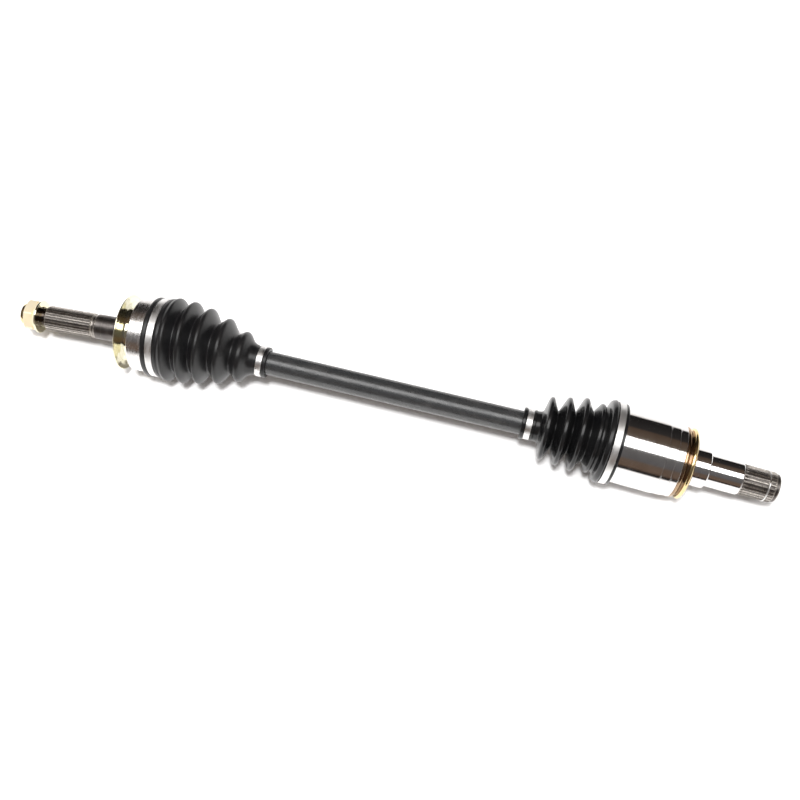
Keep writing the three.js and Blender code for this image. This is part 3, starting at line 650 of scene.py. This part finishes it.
def build_bell():
    """One forging: the bell with its ball grooves, the neck, the splined stub and its thread."""
    floor_polar = math.acos(20 / RACE_CAVITY_R)
    cone_polar = math.acos(-12.5 / RACE_CAVITY_R)
    cavity = arc(RACE_CAVITY_R, floor_polar, cone_polar, 48)
    outside = rounded([
        (-BELL_HALF, 36.4), (-BELL_HALF, BELL_R, 0.9), (BELL_HALF, BELL_R, 1.0), (21.4, 30.2, 1.2),
        (23.6, 27, 1.5), (BEARING_FACE, 27, 0.7), (BEARING_FACE, 17.6, 0.5), (39.1, NECK_R, 2.2), (66, NECK_R),
    ], 0.5)
    floor = finer([(25, 20, 0), (22.1, 23, 0), (21.9, 23.1, 0), (20, 24.98, 0)], 0.5)
    inside = [(66, 0, 0), (25, 0, 0), *floor]
    mouth = finer([(-12.5, cavity[-1][1], 0), (-BELL_HALF, 36.4, 0)], 0.8)
    rows = [*outside, *inside, *((x, r, 0) for x, r in cavity[1:]), *mouth[1:]]
    bell = revolved(rows, sides=216, closed=True, reach=bell_reach)
    splined = rounded([
        (60, 0), (60, NECK_R), (69.4, NECK_R, 0.5), (70.6, 12.5, 0.6), (73.2, 12.5, 0.6),
        (74.4, HUB_SPLINE_R, 0.4), (HUB_SPLINE_TO - 1.2, HUB_SPLINE_R, 0.3),
        (HUB_SPLINE_TO + 0.8, 11.6, 0.3), (HUB_SPLINE_TO + 1, 0),
    ], 0.5)
    spline_rows = finer(splined, 2.0)
    teeth = revolved(spline_rows, sides=HUB_SPLINE_TEETH * 12, reach=hub_teeth)
    threaded = finer(rounded([
        (127, 0), (127, THREAD_R), (STUB_END - 1.2, THREAD_R, 0.2), (STUB_END, THREAD_R - 1.2, 0.2),
        (STUB_END, 4.2, 0.4), (STUB_END - 3, 1.2, 0.3), (STUB_END - 3.4, 0),
    ], 0.3), THREAD_PITCH / 8)
    thread = revolved(threaded, sides=72, reach=thread_reach(NUT_FACE - 1, STUB_END, 0.85, THREAD_PITCH))

    def banding(x, radius):
        if x > HUB_SPLINE_TO and radius < 13:
            return 3
        if x > 35.5 and radius < 26:
            return 1
        return 2 if radius < 36 and x < 25.5 else 0

    materials = [finishes["turned"], finishes["oiled"], finishes["lapped"], finishes["neck"]]
    mesh_piece("outer_race_and_stub", [bell, teeth, thread], STUB, "hub_stub", materials,
               ["outer_race"], banding=banding)


def hub_teeth(x, radius, angle):
    """Full-depth teeth that start at the relief groove and fade into the thread."""
    land = tooth(angle, HUB_SPLINE_TEETH)
    inside = (x > 73.4) & (x < HUB_SPLINE_TO + 0.9)
    root = HUB_SPLINE_R - HUB_SPLINE_DEPTH
    cut = np.where(inside, np.minimum(radius, root + HUB_SPLINE_DEPTH * land), radius)
    return cut, np.where(inside, land, 0)


def build_shield():
    """A pressed collar on the bell's shoulder, flaring out to a thin rim."""
    bore, collar = 27.3, 28.7
    rows = rounded([
        (23.6, bore), (23.6, collar, 0.4), (26, collar, 2.0), (28.9, collar + 3, 2.5),
        (31.5, SHIELD_R - 5, 2.5), (31.9, SHIELD_R - 0.5, 0.5), (32.6, SHIELD_R, 0.5),
        (33.3, SHIELD_R - 0.4, 0.5), (33.0, SHIELD_R - 5, 2.5), (30.4, collar + 2.3, 1.6),
        (29.4, collar + 0.3, 0.3), (32.3, collar, 0.3), (32.4, bore, 0.3),
    ], 0.4, closed=True)
    shell = revolved(rows, sides=160, closed=True)
    mesh_piece("hub_dust_shield", [shell], STUB, "hub_stub", [finishes["yellow"]],
               ["dust_shield"])


def build_washer():
    to = NUT_FACE + WASHER_THICK
    rows = rounded([(NUT_FACE, 11.4), (NUT_FACE, 18.5, 0.5), (to, 18.5, 0.5), (to, 11.4)], 0.25, closed=True)
    mesh_piece("nut_washer_ring", [revolved(rows, sides=96, closed=True)], STUB, "nut_washer",
               [finishes["yellow"]], ["nut_washer"])


def build_nut():
    """The nut: flange, hexagon with a chamfered outer end, and domed locking collar."""
    start = NUT_FACE + WASHER_THICK + 0.3
    end = NUT_FACE + NUT_LENGTH
    hex_start, hex_end = start + 2.5, end - NUT_COLLAR_LENGTH
    chamfer_from = hex_end - 2.2
    chamfer = np.linspace(hex_end - 2.1, hex_end, 14)
    flange = [(start, NUT_BORE_R), (start, 17.6, 0.4), (start + 1.1, 17.6, 0.5), (hex_start + 0.3, 16.6, 0.3)]
    collar = [
        (hex_end + 0.01, 14.4), (hex_end + 0.3, 12.4, 0.4), (end - 1.6, 12.1, 1.4), (end, 11.6, 0.4),
        (end, NUT_BORE_R),
    ]
    rows = [
        *rounded(flange, 0.3),
        *((x, NUT_CORNER_R, 0.0) for x in np.linspace(hex_start + 0.35, chamfer_from, 6)),
        *((x, NUT_CORNER_R - (x - chamfer_from) * 1.55, 0.3) for x in chamfer),
        *rounded(collar, 0.3)[1:],
    ]
    nut_hex = hexagon_reach(NUT_ACROSS_FLATS, NUT_CORNER_R, hex_start + 0.31, hex_end + 0.005)
    bore = finer([(end, NUT_BORE_R, 0), (start, NUT_BORE_R, 0)], 0.25)

    def reach(x, radius, angle):
        new_radius, edge = nut_hex(x, radius, angle + NUT_TURN)
        threaded = radius < NUT_BORE_R + 0.05
        phase = np.abs((x / THREAD_PITCH - angle / math.tau) % 1 - 0.5) * 2
        return np.where(threaded, NUT_BORE_R - 0.25 * phase, new_radius), np.where(threaded, 0, edge)

    def banding(x, radius):
        return 1 if x > hex_end + 0.2 or radius < NUT_BORE_R + 0.3 else 0

    shell = revolved([*rows, *bore[1:-1]], sides=144, closed=True, reach=reach)
    mesh_piece("hub_lock_nut", [shell], STUB, "hub_nut", [finishes["pale"], finishes["gold"]],
               ["hub_nut"], sharp=32, banding=banding)


# ---- Inside the ball joint ----


def build_balls():
    """Two balls lie on the yaw axis and stay on the pivot, and the other four turn with the cage."""
    for index in range(BALL_COUNT):
        on_pivot = index % 3 == 0
        angle = index * math.tau / BALL_COUNT
        centre = Vector((0, -BALL_PITCH_R * math.sin(angle), BALL_PITCH_R * math.cos(angle))) * MM
        place = (PIVOT if on_pivot else CAGE) @ Matrix.Translation(centre)
        ball = revolved([(x, r, 0) for x, r in arc(BALL_R, 0, math.pi, 32)], sides=48)
        mesh_piece(f"bearing_ball_{index + 1}", [ball], place, "ball_pivot" if on_pivot else "ball_cage",
                   [finishes["lapped"]], [f"outer_ball_{index + 1}"])


def build_inner_race():
    face = math.acos(INNER_RACE_HALF / INNER_RACE_R)
    crown = [(x, r, 0) for x, r in arc(INNER_RACE_R, face, math.pi - face, 40)]
    near, far = (-INNER_RACE_HALF, RACE_BORE_R, 0), (INNER_RACE_HALF, RACE_BORE_R, 0)
    rows = finer([crown[-1], near, far], 1.0)[1:] + finer([far, crown[0]], 1.0)[1:-1] + crown
    race = revolved(rows, sides=180, closed=True, reach=inner_race_reach)
    mesh_piece("inner_race_star", [race], Matrix.Translation(outer_centre), "bar",
               [finishes["lapped"]], ["outer_inner_race"])


# ---- Inside the tripod joint ----


def trunnion_frame(index):
    """A frame on trunnion number index, with +X along the trunnion and its origin on the bar's axis."""
    return Matrix.Rotation(index * math.tau / 3, 4, "X") @ Matrix.Rotation(-math.pi / 2, 4, "Y")


def build_spider():
    hub_section = [(-11, RACE_BORE_R), (-11, 15), (11, 15), (11, RACE_BORE_R)]
    hub = revolved(finer(rounded(hub_section, 1.3, closed=True), 1.0, True), sides=128, closed=True)
    trunnion_rows = rounded([
        (12, 0), (12, 11.4, 0.3), (15.5, TRUNNION_R, 2.0), (30.7, TRUNNION_R, 0.2), (30.7, 8, 0.2),
        (32, 8, 0.2), (32, 8.8, 0.2), (TRUNNION_TIP, 8.3, 0.3), (TRUNNION_TIP, 0),
    ], 0.3)
    trunnion = revolved(trunnion_rows, sides=64)
    arms = [trunnion.moved(trunnion_frame(index)) for index in range(3)]
    mesh_piece("tripod_spider_body", [hub, *arms], SPIDER, "bar", [finishes["forged"]],
               ["tripod_spider"])


def roller_shell():
    face = math.acos(ROLLER_HALF / ROLLER_R)
    crown = arc(ROLLER_R, math.pi - face, face, 20)
    section = [*crown, (ROLLER_HALF, ROLLER_BORE_R), (-ROLLER_HALF, ROLLER_BORE_R)]
    return revolved(rounded(section, 0.4, closed=True), sides=96, closed=True)


def needle_shells():
    section = [(-5.3, 0), (-5.3, NEEDLE_R, 0.5), (5.3, NEEDLE_R, 0.5), (5.3, 0)]
    needle = revolved(rounded(section, 0.4), sides=12)
    pitch_r = (TRUNNION_R + ROLLER_BORE_R) / 2
    needles = []
    for step in range(NEEDLE_COUNT):
        angle = step * math.tau / NEEDLE_COUNT
        spot = (0, pitch_r * math.sin(angle), pitch_r * math.cos(angle))
        needles.append(needle.moved(Matrix.Translation(spot)))
    return needles


def build_rollers():
    """The first roller stands on the yaw axis, so it and its needles turn with the joint's pivot."""
    clip_rows = rounded([(6.85, 8.3), (6.85, 11.2), (7.85, 11.2), (7.85, 8.3)], 0.2, closed=True)
    for index in range(3):
        holder = "tripod_pivot" if index == 0 else "bar"
        yaw = Matrix.Rotation(INNER_YAW if index == 0 else 0, 4, "Z")
        along = trunnion_frame(index) @ Matrix.Translation((ROLLER_PITCH_R * MM, 0, 0))
        place = SPIDER @ yaw @ along
        mesh_piece(f"track_roller_{index + 1}", [roller_shell()], place, f"roller_{index + 1}",
                   [finishes["lapped"]], [f"tripod_roller_{index + 1}"])
        mesh_piece(f"needle_set_{index + 1}", needle_shells(), place, holder,
                   [finishes["lapped"]], [f"roller_needles_{index + 1}"])
        clip = revolved(clip_rows, sides=64, closed=True, gap=math.radians(26))
        mesh_piece(f"trunnion_clip_{index + 1}", [clip], SPIDER @ along, "bar",
                   [finishes["spring"]], [f"roller_clip_{index + 1}"])


# ---- Housing and gearbox stub ----


def build_housing():
    """The cup with its three roller tracks, and the gearbox stub with its spline."""
    outside = rounded([
        (HOUSING_MOUTH, TRACK_FLOOR_R), (HOUSING_MOUTH, HOUSING_R, 0.8), (26.8, HOUSING_R, 0.12),
        (27.5, HOUSING_R - 1.3, 0.12), (28.3, HOUSING_R - 0.7, 0.12), (37.3, HOUSING_R - 0.7, 0.12),
        (38.0, HOUSING_R - 2.1, 0.12), (38.8, HOUSING_R - 1.5, 0.12), (45.6, HOUSING_R - 1.5, 0.3),
        (46.2, HOUSING_R - 2.6, 0.2), (47.0, HOUSING_R - 1.9, 0.8), (49.2, HOUSING_R - 2.2, 1.0),
        (50.4, HOUSING_R - 4.2, 0.6), (51, 36.2, 0.3), (51, RING_SEAT_R, 0.3), (59, RING_SEAT_R, 0.5),
        (59, GEARBOX_BOSS_R + 2.3, 0.8), (61, GEARBOX_BOSS_R, 1.2), (70, GEARBOX_BOSS_R),
    ], 0.4)
    bore = finer([(HOUSING_FLOOR, 22, 0), (-5, 22, 0), (HOUSING_MOUTH, 33.7, 0)], 1.5)
    rows = [*outside, (70, 0, 0), (HOUSING_FLOOR, 0, 0), *bore]
    cup = revolved(rows, sides=240, closed=True, reach=track_reach)
    clip_to = GEARBOX_CLIP_FROM + 2
    clip_floor = 14.7
    stub = rounded([
        (64, 0), (64, GEARBOX_BOSS_R), (GEARBOX_BOSS_END - 1.1, GEARBOX_BOSS_R, 0.3),
        (GEARBOX_BOSS_END, GEARBOX_BOSS_R - 1.1, 0.3), (GEARBOX_BOSS_END, GEARBOX_STUB_R, 0.5),
        (GEARBOX_SPLINE_FROM - 2.2, GEARBOX_STUB_R, 0.5), (GEARBOX_SPLINE_FROM - 1.2, GEARBOX_SPLINE_R, 0.3),
        (GEARBOX_CLIP_FROM, GEARBOX_SPLINE_R, 0.15), (GEARBOX_CLIP_FROM, clip_floor, 0.2),
        (clip_to, clip_floor, 0.2), (clip_to, GEARBOX_SPLINE_R, 0.15),
        (GEARBOX_SPLINE_TO - 0.6, GEARBOX_SPLINE_R, 0.4), (GEARBOX_SPLINE_TO, 15.5, 0.4),
        (GEARBOX_END - 1, 15.3, 0.4), (GEARBOX_END, 14.3, 0.4), (GEARBOX_END, 5, 0.4),
        (GEARBOX_END - 2.2, 2, 0.3), (GEARBOX_END - 2.6, 0),
    ], 0.4)

    def reach(x, radius, angle):
        land = tooth(angle, GEARBOX_SPLINE_TEETH)
        root = GEARBOX_SPLINE_R - GEARBOX_SPLINE_DEPTH
        started = smooth(x, GEARBOX_SPLINE_FROM - 1.6, GEARBOX_SPLINE_FROM + 1.6)
        ramp = root + (GEARBOX_STUB_R - root) * (1 - started)
        inside = (x > GEARBOX_SPLINE_FROM - 1.7) & (x < GEARBOX_SPLINE_TO + 0.05)
        cut = np.where(inside, np.minimum(radius, ramp + (GEARBOX_SPLINE_R - root) * land), radius)
        return cut, np.where(inside, land, 0)

    def banding(x, radius):
        if x > GEARBOX_SPLINE_FROM - 1:
            return 1
        # The shoulder is painted brown as a reflection of the gold dust ring
        if 45.9 < x < 59 and radius > 33:
            return 3
        return 2 if radius < 37.8 and x < HOUSING_FLOOR + 0.5 else 0

    splined = revolved(finer(stub, 1.2), sides=GEARBOX_SPLINE_TEETH * 12, reach=reach)
    materials = [finishes["ground"], finishes["oiled"], finishes["lapped"], finishes["painted_gold_reflection"]]
    mesh_piece("tripod_housing", [cup, splined], HOUSING, "gearbox_housing", materials,
               ["inner_housing"], banding=banding)


def build_dust_ring():
    """A pressed ring with a rolled bead. Its seat is tinted brown like the shoulder next to it, a painted
    reflection of the gold ring.
    """
    bead = [(55.4 + x, 36.9 + r) for x, r in arc(2.3, math.radians(185), math.radians(-5), 12)]
    section = [(52.0, 35.1), (52.0, 35.6, 0.1), (53.1, 35.6, 0.1), *bead, (57.7, 35.1)]
    shell = revolved(rounded(section, 0.1, closed=True), sides=192, closed=True)
    mesh_piece("seal_dust_ring", [shell], HOUSING, "gearbox_housing",
               [finishes["gold"], finishes["painted_gold_reflection"]], ["dust_deflector"],
               banding=lambda x, r: 1 if r < 36.2 and x < 53.5 else 0)


def wire_ring(name, node, place, body, inner_r, outer_r, start, end, finish, corner, sides=64, gap=0.0):
    """A flat or round wire ring, with an opening of gap degrees."""
    section = [(start, inner_r), (start, outer_r), (end, outer_r), (end, inner_r)]
    rows = rounded(section, corner, closed=True)
    shell = revolved(rows, sides=sides, closed=True, gap=math.radians(gap))
    mesh_piece(name, [shell], place, body, [finishes[finish]], [node])


def build_wire_rings():
    wire_ring("stub_snap_ring", "stub_circlip", HOUSING, "gearbox_housing", 15.0, 17.1, 142.5, 143.9,
              "stainless", corner=0.45, sides=96, gap=18)
    wire_ring("track_stop_ring", "housing_stop_ring", HOUSING, "gearbox_housing", 35.4, 37.4, -30.4, -29,
              "spring", corner=0.3, sides=128)
    for name, node, groove in (
        ("race_clip", "outer_race_circlip", OUTER_CENTRE - 14.5),
        ("spider_clip", "spider_circlip", INNER_CENTRE + 13),
    ):
        wire_ring(name, node, BAR, "bar", 9.9, 12.6, groove + 0.3, groove + 1.2, "spring", corner=0.3, gap=20)


# ---- Boots ----

# Corner radii of the outer boot's crests and of both boots' valleys, and the hole round the bar
CREST = 5
VALLEY = 1.7
BOOT_BORE_R = 13.6
BOOT_SIDES = 128

OUTER_BOOT_OUTSIDE = [
    # Rim and the seat of the large clamp
    (-285, 41.4, 0.4), (-285, 44.2, 1.2), (-282.2, 44.6, 1.2), (-280, 44.0, 0.5), (-279.7, 43, 0.4),
    (-270.9, 43, 0.4), (-270.3, 44.7, 0.6), (-267.3, 45.4, 1.2), (-265.8, 44.6, 0.8), (-261, 47.7, 3.4),
    # Convolutions
    (-252.4, 36.6, VALLEY), (-243.6, 48, CREST), (-234.2, 33.2, VALLEY), (-225, 44.8, CREST),
    (-213.8, 27.8, VALLEY), (-203.2, 39, CREST), (-191.2, 22.4, VALLEY), (-181, 30.1, CREST),
    # Neck and the seat of the small clamp
    (-172.5, 18.9, 6), (-165.4, 16.5, 3), (-163.6, 16.2, 0.4), (-156.2, 16.2, 0.4), (-155.8, 17.2, 0.5),
    (-152.4, 17.2, 0.8), (-152, BOOT_BORE_R, 0.4),
]
OUTER_BOOT_INSIDE = [
    (-168.5, BOOT_BORE_R, 1), (-172.5, 16.9, 2), (-180, 26.2, 2), (-190.6, 20.8, 2), (-203, 34.6, 2),
    (-213.8, 26.2, 2), (-224.6, 40.4, 2), (-234.2, 31.6, 2), (-243.4, 43.8, 2), (-252.4, 35, 2),
    (-261, 44.9, 2), (-264.5, 42.2, 1), (-266, 41.4, 0.5),
]


def dome(x, radius):
    """The rounded top of one convolution, in the inner boot's section."""
    near_side = [(x - 3.1, radius - 2.6, 2.4), (x - 1.5, radius, 1.8)]
    far_side = [(x + 1.5, radius, 1.8), (x + 3.1, radius - 2.6, 2.4)]
    return near_side + far_side


INNER_BOOT_OUTSIDE = [
    # Rim, the seat of the small clamp and the neck
    (134.2, BOOT_BORE_R, 0.4), (134.2, 17.2, 0.9), (136.2, 17.6, 0.9), (138.1, 17.2, 0.5), (138.5, 15.8, 0.4),
    (145.6, 15.8, 0.4), (146, 17, 0.5), (147.8, 17.2, 0.8), (149.4, 16.4, 0.8), (154.5, 17.2, 2),
    # Convolutions
    *dome(161.2, 34.9), (169.7, 20.2, VALLEY), *dome(178.9, 37.8), (187.3, 22.8, VALLEY),
    *dome(195.8, 40.6), (204.9, 27.6, VALLEY), *dome(213.2, 38.2), (218.8, 36.6, 1.4),
    # Shoulder, the seat of the large clamp and the rim
    (221.2, 44.4, 2.8), (225.4, 46.2, 2.4), (227.4, 44.6, 0.7), (227.8, 43.9, 0.3), (235.7, 43.9, 0.3),
    (236.1, 44.7, 0.5), (238.6, 44.5, 0.6), (239, 41.5, 0.4),
]
INNER_BOOT_INSIDE = [
    (225, 41.5, 0.6), (219, 34.8, 1), (213.9, 36.6, 2), (204.9, 26.8, 2), (195.2, 38.4, 3), (187.3, 22.2, 2),
    (178.3, 35.6, 3), (169.7, 19.6, 2), (161.2, 32.8, 3), (156, 15.6, 2), (152.5, BOOT_BORE_R, 1),
]


def bent(points, centre_x, turn, bar_end, joint_end):
    """Points of a boot that was made straight along the bar, bent to the joint's resting angle."""
    share = smooth(points[:, 0], min(bar_end, joint_end), max(bar_end, joint_end))
    if joint_end < bar_end:
        share = 1 - share
    result = np.empty_like(points)
    identity = Quaternion()
    for index, (point, part) in enumerate(zip(points, share)):
        moved = identity.slerp(turn, float(part)) @ Vector((point[0] - centre_x, point[1], point[2]))
        result[index] = (moved.x + centre_x, moved.y, moved.z)
    return result


def vertex_normals(points, faces):
    """Normals of the whole boot, so that its pieces meet with no line between them."""
    whole = bpy.data.meshes.new("whole_boot")
    whole.from_pydata(points.tolist(), [], faces)
    normals = np.zeros(len(points) * 3)
    whole.vertices.foreach_get("normal", normals)
    bpy.data.meshes.remove(whole)
    return normals.reshape(-1, 3)


def build_boot(name, rows, centre_x, turn, bend, pieces, node, material):
    """A boot as one smooth surface, bent to its joint's resting angle and cut into pieces.

    Each of pieces is (from x, to x, body at from, body at to, blend start x, blend end x); the bodies are not
    used, nor are the end points made from the blend's x's.
    """
    shell = revolved(rows, sides=BOOT_SIDES, closed=True)
    straight = shell.points
    curved = bent(straight, centre_x, turn, *bend)
    normals = vertex_normals(curved, shell.faces)
    middles = [(row[0] + after[0]) / 2 for row, after in zip(rows, [*rows[1:], rows[0]])]
    for number, (low, high, first, second, start, end) in enumerate(pieces):
        kept_faces = []
        for row, middle in enumerate(middles):
            if low <= middle < high:
                kept_faces.extend(shell.faces[row * BOOT_SIDES:(row + 1) * BOOT_SIDES])
        used = sorted({corner for face in kept_faces for corner in face})
        place_of = {corner: index for index, corner in enumerate(used)}
        faces = [tuple(place_of[corner] for corner in face) for face in kept_faces]
        mesh = bpy.data.meshes.new(f"{name}_{number + 1}")
        mesh.from_pydata((curved[used] * MM).tolist(), [], faces)
        local = mesh.attributes.new("local", "FLOAT_VECTOR", "POINT")
        local.data.foreach_set("vector", (straight[used] * MM).astype(np.float32).ravel())
        lighter_edges = mesh.attributes.new("edge", "FLOAT", "POINT")
        lighter_edges.data.foreach_set("value", shell.edge[used].astype(np.float32))
        mesh.materials.append(material)
        mesh.polygons.foreach_set("use_smooth", [True] * len(mesh.polygons))
        mesh.normals_split_custom_set_from_vertices(normals[used].tolist())
        piece = bpy.data.objects.new(mesh.name, mesh)
        piece.matrix_world = BAR
        scene.collection.objects.link(piece)
        ends = bent(np.array([(start, 0, 0), (end, 0, 0)], float), centre_x, turn, *bend)
        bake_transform(piece)
        if number == 0:
            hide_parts(node)


def boot_rows(outside, inside):
    return finer(rounded([*outside, *inside], 1.0, closed=True, steps=6), 1.1, closed=True)


def build_boots():
    # How far a blend keeps from the cut between two pieces
    margin = 0.8
    outer_rows = boot_rows(OUTER_BOOT_OUTSIDE, OUTER_BOOT_INSIDE)
    inner_rows = boot_rows(INNER_BOOT_OUTSIDE, INNER_BOOT_INSIDE)
    build_boot(
        "outer_bellows", outer_rows, OUTER_CENTRE, OUTER_TURN, (-170, -264), [
            (-300, -249, "hub_stub", "outer_boot_bend", -266, -249 - margin),
            (-249, -221, "outer_boot_bend", "ball_pivot", -249 + margin, -221 - margin),
            (-221, -100, "ball_pivot", "bar", -221 + margin, -208),
        ], "outer_boot", finishes["boot"])
    build_boot(
        "inner_bellows", inner_rows, INNER_CENTRE, INNER_TURN, (152, 224), [
            (100, 197, "bar", "tripod_pivot", 178, 197 - margin),
            (197, 212, "tripod_pivot", "inner_boot_bend", 197 + margin, 212 - margin),
            (212, 260, "inner_boot_bend", "gearbox_housing", 212 + margin, 228),
        ], "inner_boot", finishes["boot_gloss"])


# ---- Clamps ----


SMALL_STRIP = {"thick": 0.7, "ear_length": 6, "ear_height": 1.6}
LARGE_STRIP = {"thick": 0.8, "ear_length": 9, "ear_height": 2}


def clamp_ear(start, end, grip, thick, ear_length, ear_height):
    """The pinched ear and the overlapping tail beside it, as a bent strip over the band."""
    wall = thick * 0.9
    half = ear_length / 2
    top = grip + thick + ear_height
    low = grip + thick * 0.55
    outline = [
        (-half - 1.6, low), (-half * 0.75, low), (-half * 0.42, top - wall * 1.6),
        (half * 0.42, top - wall * 1.6), (half * 0.75, low), (half + 1.6, low), (half + 1.6, low + wall),
        (half * 0.98, low + wall), (half * 0.72, top), (-half * 0.72, top), (-half * 0.98, low + wall),
        (-half - 1.6, low + wall),
    ]
    smooth_outline = rounded(outline, 0.45, closed=True, steps=3)
    inset = 0.45
    chamfer = 0.15
    layers = [
        (start + inset, 0.12), (start + inset + chamfer, 0.0),
        (end - inset - chamfer, 0.0), (end - inset, 0.12),
    ]
    centre = np.mean([(t, h) for t, h, _ in smooth_outline], axis=0)
    points, faces, edge = [], [], []
    for x, shrink in layers:
        for t, h, lighter_edges in smooth_outline:
            pull = np.array((t, h)) + (centre - np.array((t, h))) * shrink * 0.2
            points.append((x, pull[0], pull[1]))
            edge.append(1.0 if shrink else lighter_edges * 0.5)
    count = len(smooth_outline)
    for layer in range(len(layers) - 1):
        near, far = layer * count, (layer + 1) * count
        for step in range(count):
            after = (step + 1) % count
            faces.append((near + step, near + after, far + after, far + step))
    points = np.array(points)
    if volume_sign(points, faces) < 0:
        faces = [face[::-1] for face in faces]
    faces.append(tuple(range(count))[::-1])
    faces.append(tuple(range((len(layers) - 1) * count, len(layers) * count)))
    return Shell(points, faces, edge)


def build_clamp(name, node, place, body, start, end, grip, ear_angle, strip):
    """A strip clamp: the band and the ear that tightens it, at ear_angle degrees round the axis."""
    outer_r = grip + strip["thick"]
    section = [(start, grip), (start, outer_r), (end, outer_r), (end, grip)]
    band = revolved(rounded(section, 0.22, closed=True), sides=160, closed=True)
    ear = clamp_ear(start, end, grip, **strip).moved(Matrix.Rotation(math.radians(ear_angle), 4, "X"))
    mesh_piece(name, [band, ear], place, body, [finishes["stainless"]], [node])


def build_clamps():
    build_clamp("outer_neck_clamp", "outer_boot_small_clamp", BAR, "bar", -163.1, -156.6, 16.4,
                70, SMALL_STRIP)
    build_clamp("inner_neck_clamp", "inner_boot_small_clamp", BAR, "bar", 138.8, 145.3, 16,
                -110, SMALL_STRIP)
    build_clamp("outer_cuff_clamp", "outer_boot_large_clamp", BELL, "hub_stub", 4, 11.5, 43.3,
                150, LARGE_STRIP)
    build_clamp("inner_cuff_clamp", "inner_boot_large_clamp", HOUSING, "gearbox_housing", -29.8, -22.7, 44.3,
                150, LARGE_STRIP)


# ---- Studio ----


def build_floor():
    half = 8.0
    corners = [(-half, -half, 0), (half, -half, 0), (half, half, 0), (-half, half, 0)]
    mesh = bpy.data.meshes.new("floor")
    mesh.from_pydata(corners, [], [(0, 1, 2, 3)])
    floor = bpy.data.objects.new("floor", mesh)
    graph = Graph("floor_white")
    graph.set("Base Color", colour(0.86, 0.86, 0.86))
    graph.set("Emission Color", colour(1.0, 0.93, 0.89))
    graph.set("Emission Strength", 0.08)
    graph.set("Roughness", 0.85)
    graph.set("Specular IOR Level", 0.0)
    mesh.materials.append(graph.material)
    scene.collection.objects.link(floor)


def area_light(name, width, depth, energy, place, tilt=0.0):
    lamp = bpy.data.lights.new(name, "AREA")
    lamp.shape = "RECTANGLE"
    lamp.size = width
    lamp.size_y = depth
    lamp.energy = energy
    light = bpy.data.objects.new(name, lamp)
    light.location = place
    light.rotation_euler = (math.radians(tilt), 0, 0)
    scene.collection.objects.link(light)
    return light


def build_lights():
    area_light("softbox", 4.6, 1.3, 72, (0.0, -0.22, 2.5))
    # A small lamp in front of it gives the tight shadow, and stays out of the reflections
    key = area_light("key_lamp", 0.3, 0.3, 58, (0.0, -0.48, 2.45), tilt=-11)
    key.visible_glossy = False


def build_world():
    """A studio that is the same all along X, so its walls mirror as long bands on turned metal."""
    world = bpy.data.worlds.new("studio")
    scene.world = world
    world.use_nodes = True
    tree = world.node_tree
    background = tree.nodes["Background"]
    coordinates = tree.nodes.new("ShaderNodeTexCoord")
    split = tree.nodes.new("ShaderNodeSeparateXYZ")
    tree.links.new(coordinates.outputs["Generated"], split.inputs[0])
    towards = tree.nodes.new("ShaderNodeMath")
    towards.operation = "ARCTAN2"
    tree.links.new(split.outputs["Y"], towards.inputs[0])
    tree.links.new(split.outputs["Z"], towards.inputs[1])
    share = tree.nodes.new("ShaderNodeMapRange")
    share.inputs["From Min"].default_value = -math.pi
    share.inputs["From Max"].default_value = math.pi
    tree.links.new(towards.outputs[0], share.inputs["Value"])
    ramp = tree.nodes.new("ShaderNodeValToRGB")
    tree.links.new(share.outputs["Result"], ramp.inputs["Fac"])
    # From below on the camera's side, over the top, to below on the far side
    stops = [
        (-100, (0.30, 0.28, 0.27)), (-92, (0.012, 0.011, 0.011)),
        (-84, (0.014, 0.012, 0.011)), (-78, (0.15, 0.10, 0.072)),
        (-58, (0.14, 0.10, 0.076)), (-52, (0.12, 0.113, 0.115)),
        (-19, (0.15, 0.143, 0.14)), (8, (0.13, 0.095, 0.07)),
        (40, (0.085, 0.058, 0.042)), (46, (0.03, 0.027, 0.026)),
        (92, (0.012, 0.011, 0.011)), (100, (0.30, 0.28, 0.27)),
    ]
    elements = ramp.color_ramp.elements
    while len(elements) > 1:
        elements.remove(elements[0])
    for index, (degrees, shade) in enumerate(stops):
        where = (degrees + 180) / 360
        element = elements[0] if index == 0 else elements.new(where)
        element.position = where
        element.color = colour(*shade)
    tree.links.new(ramp.outputs["Color"], background.inputs["Color"])
    background.inputs["Strength"].default_value = 1.0


# ---- Everything ----

scene.view_settings.view_transform = "Standard"
scene.view_settings.look = "None"
build_floor()
build_lights()
build_world()
build_bar()
build_bell()
build_shield()
build_washer()
build_nut()
build_balls()
build_inner_race()
build_spider()
build_rollers()
build_housing()
build_dust_ring()
build_wire_rings()
build_boots()
build_clamps()

for cage_slot in frame["nodes"]["outer_cage"].material_slots:
    cage_slot.material = finishes["forged"]
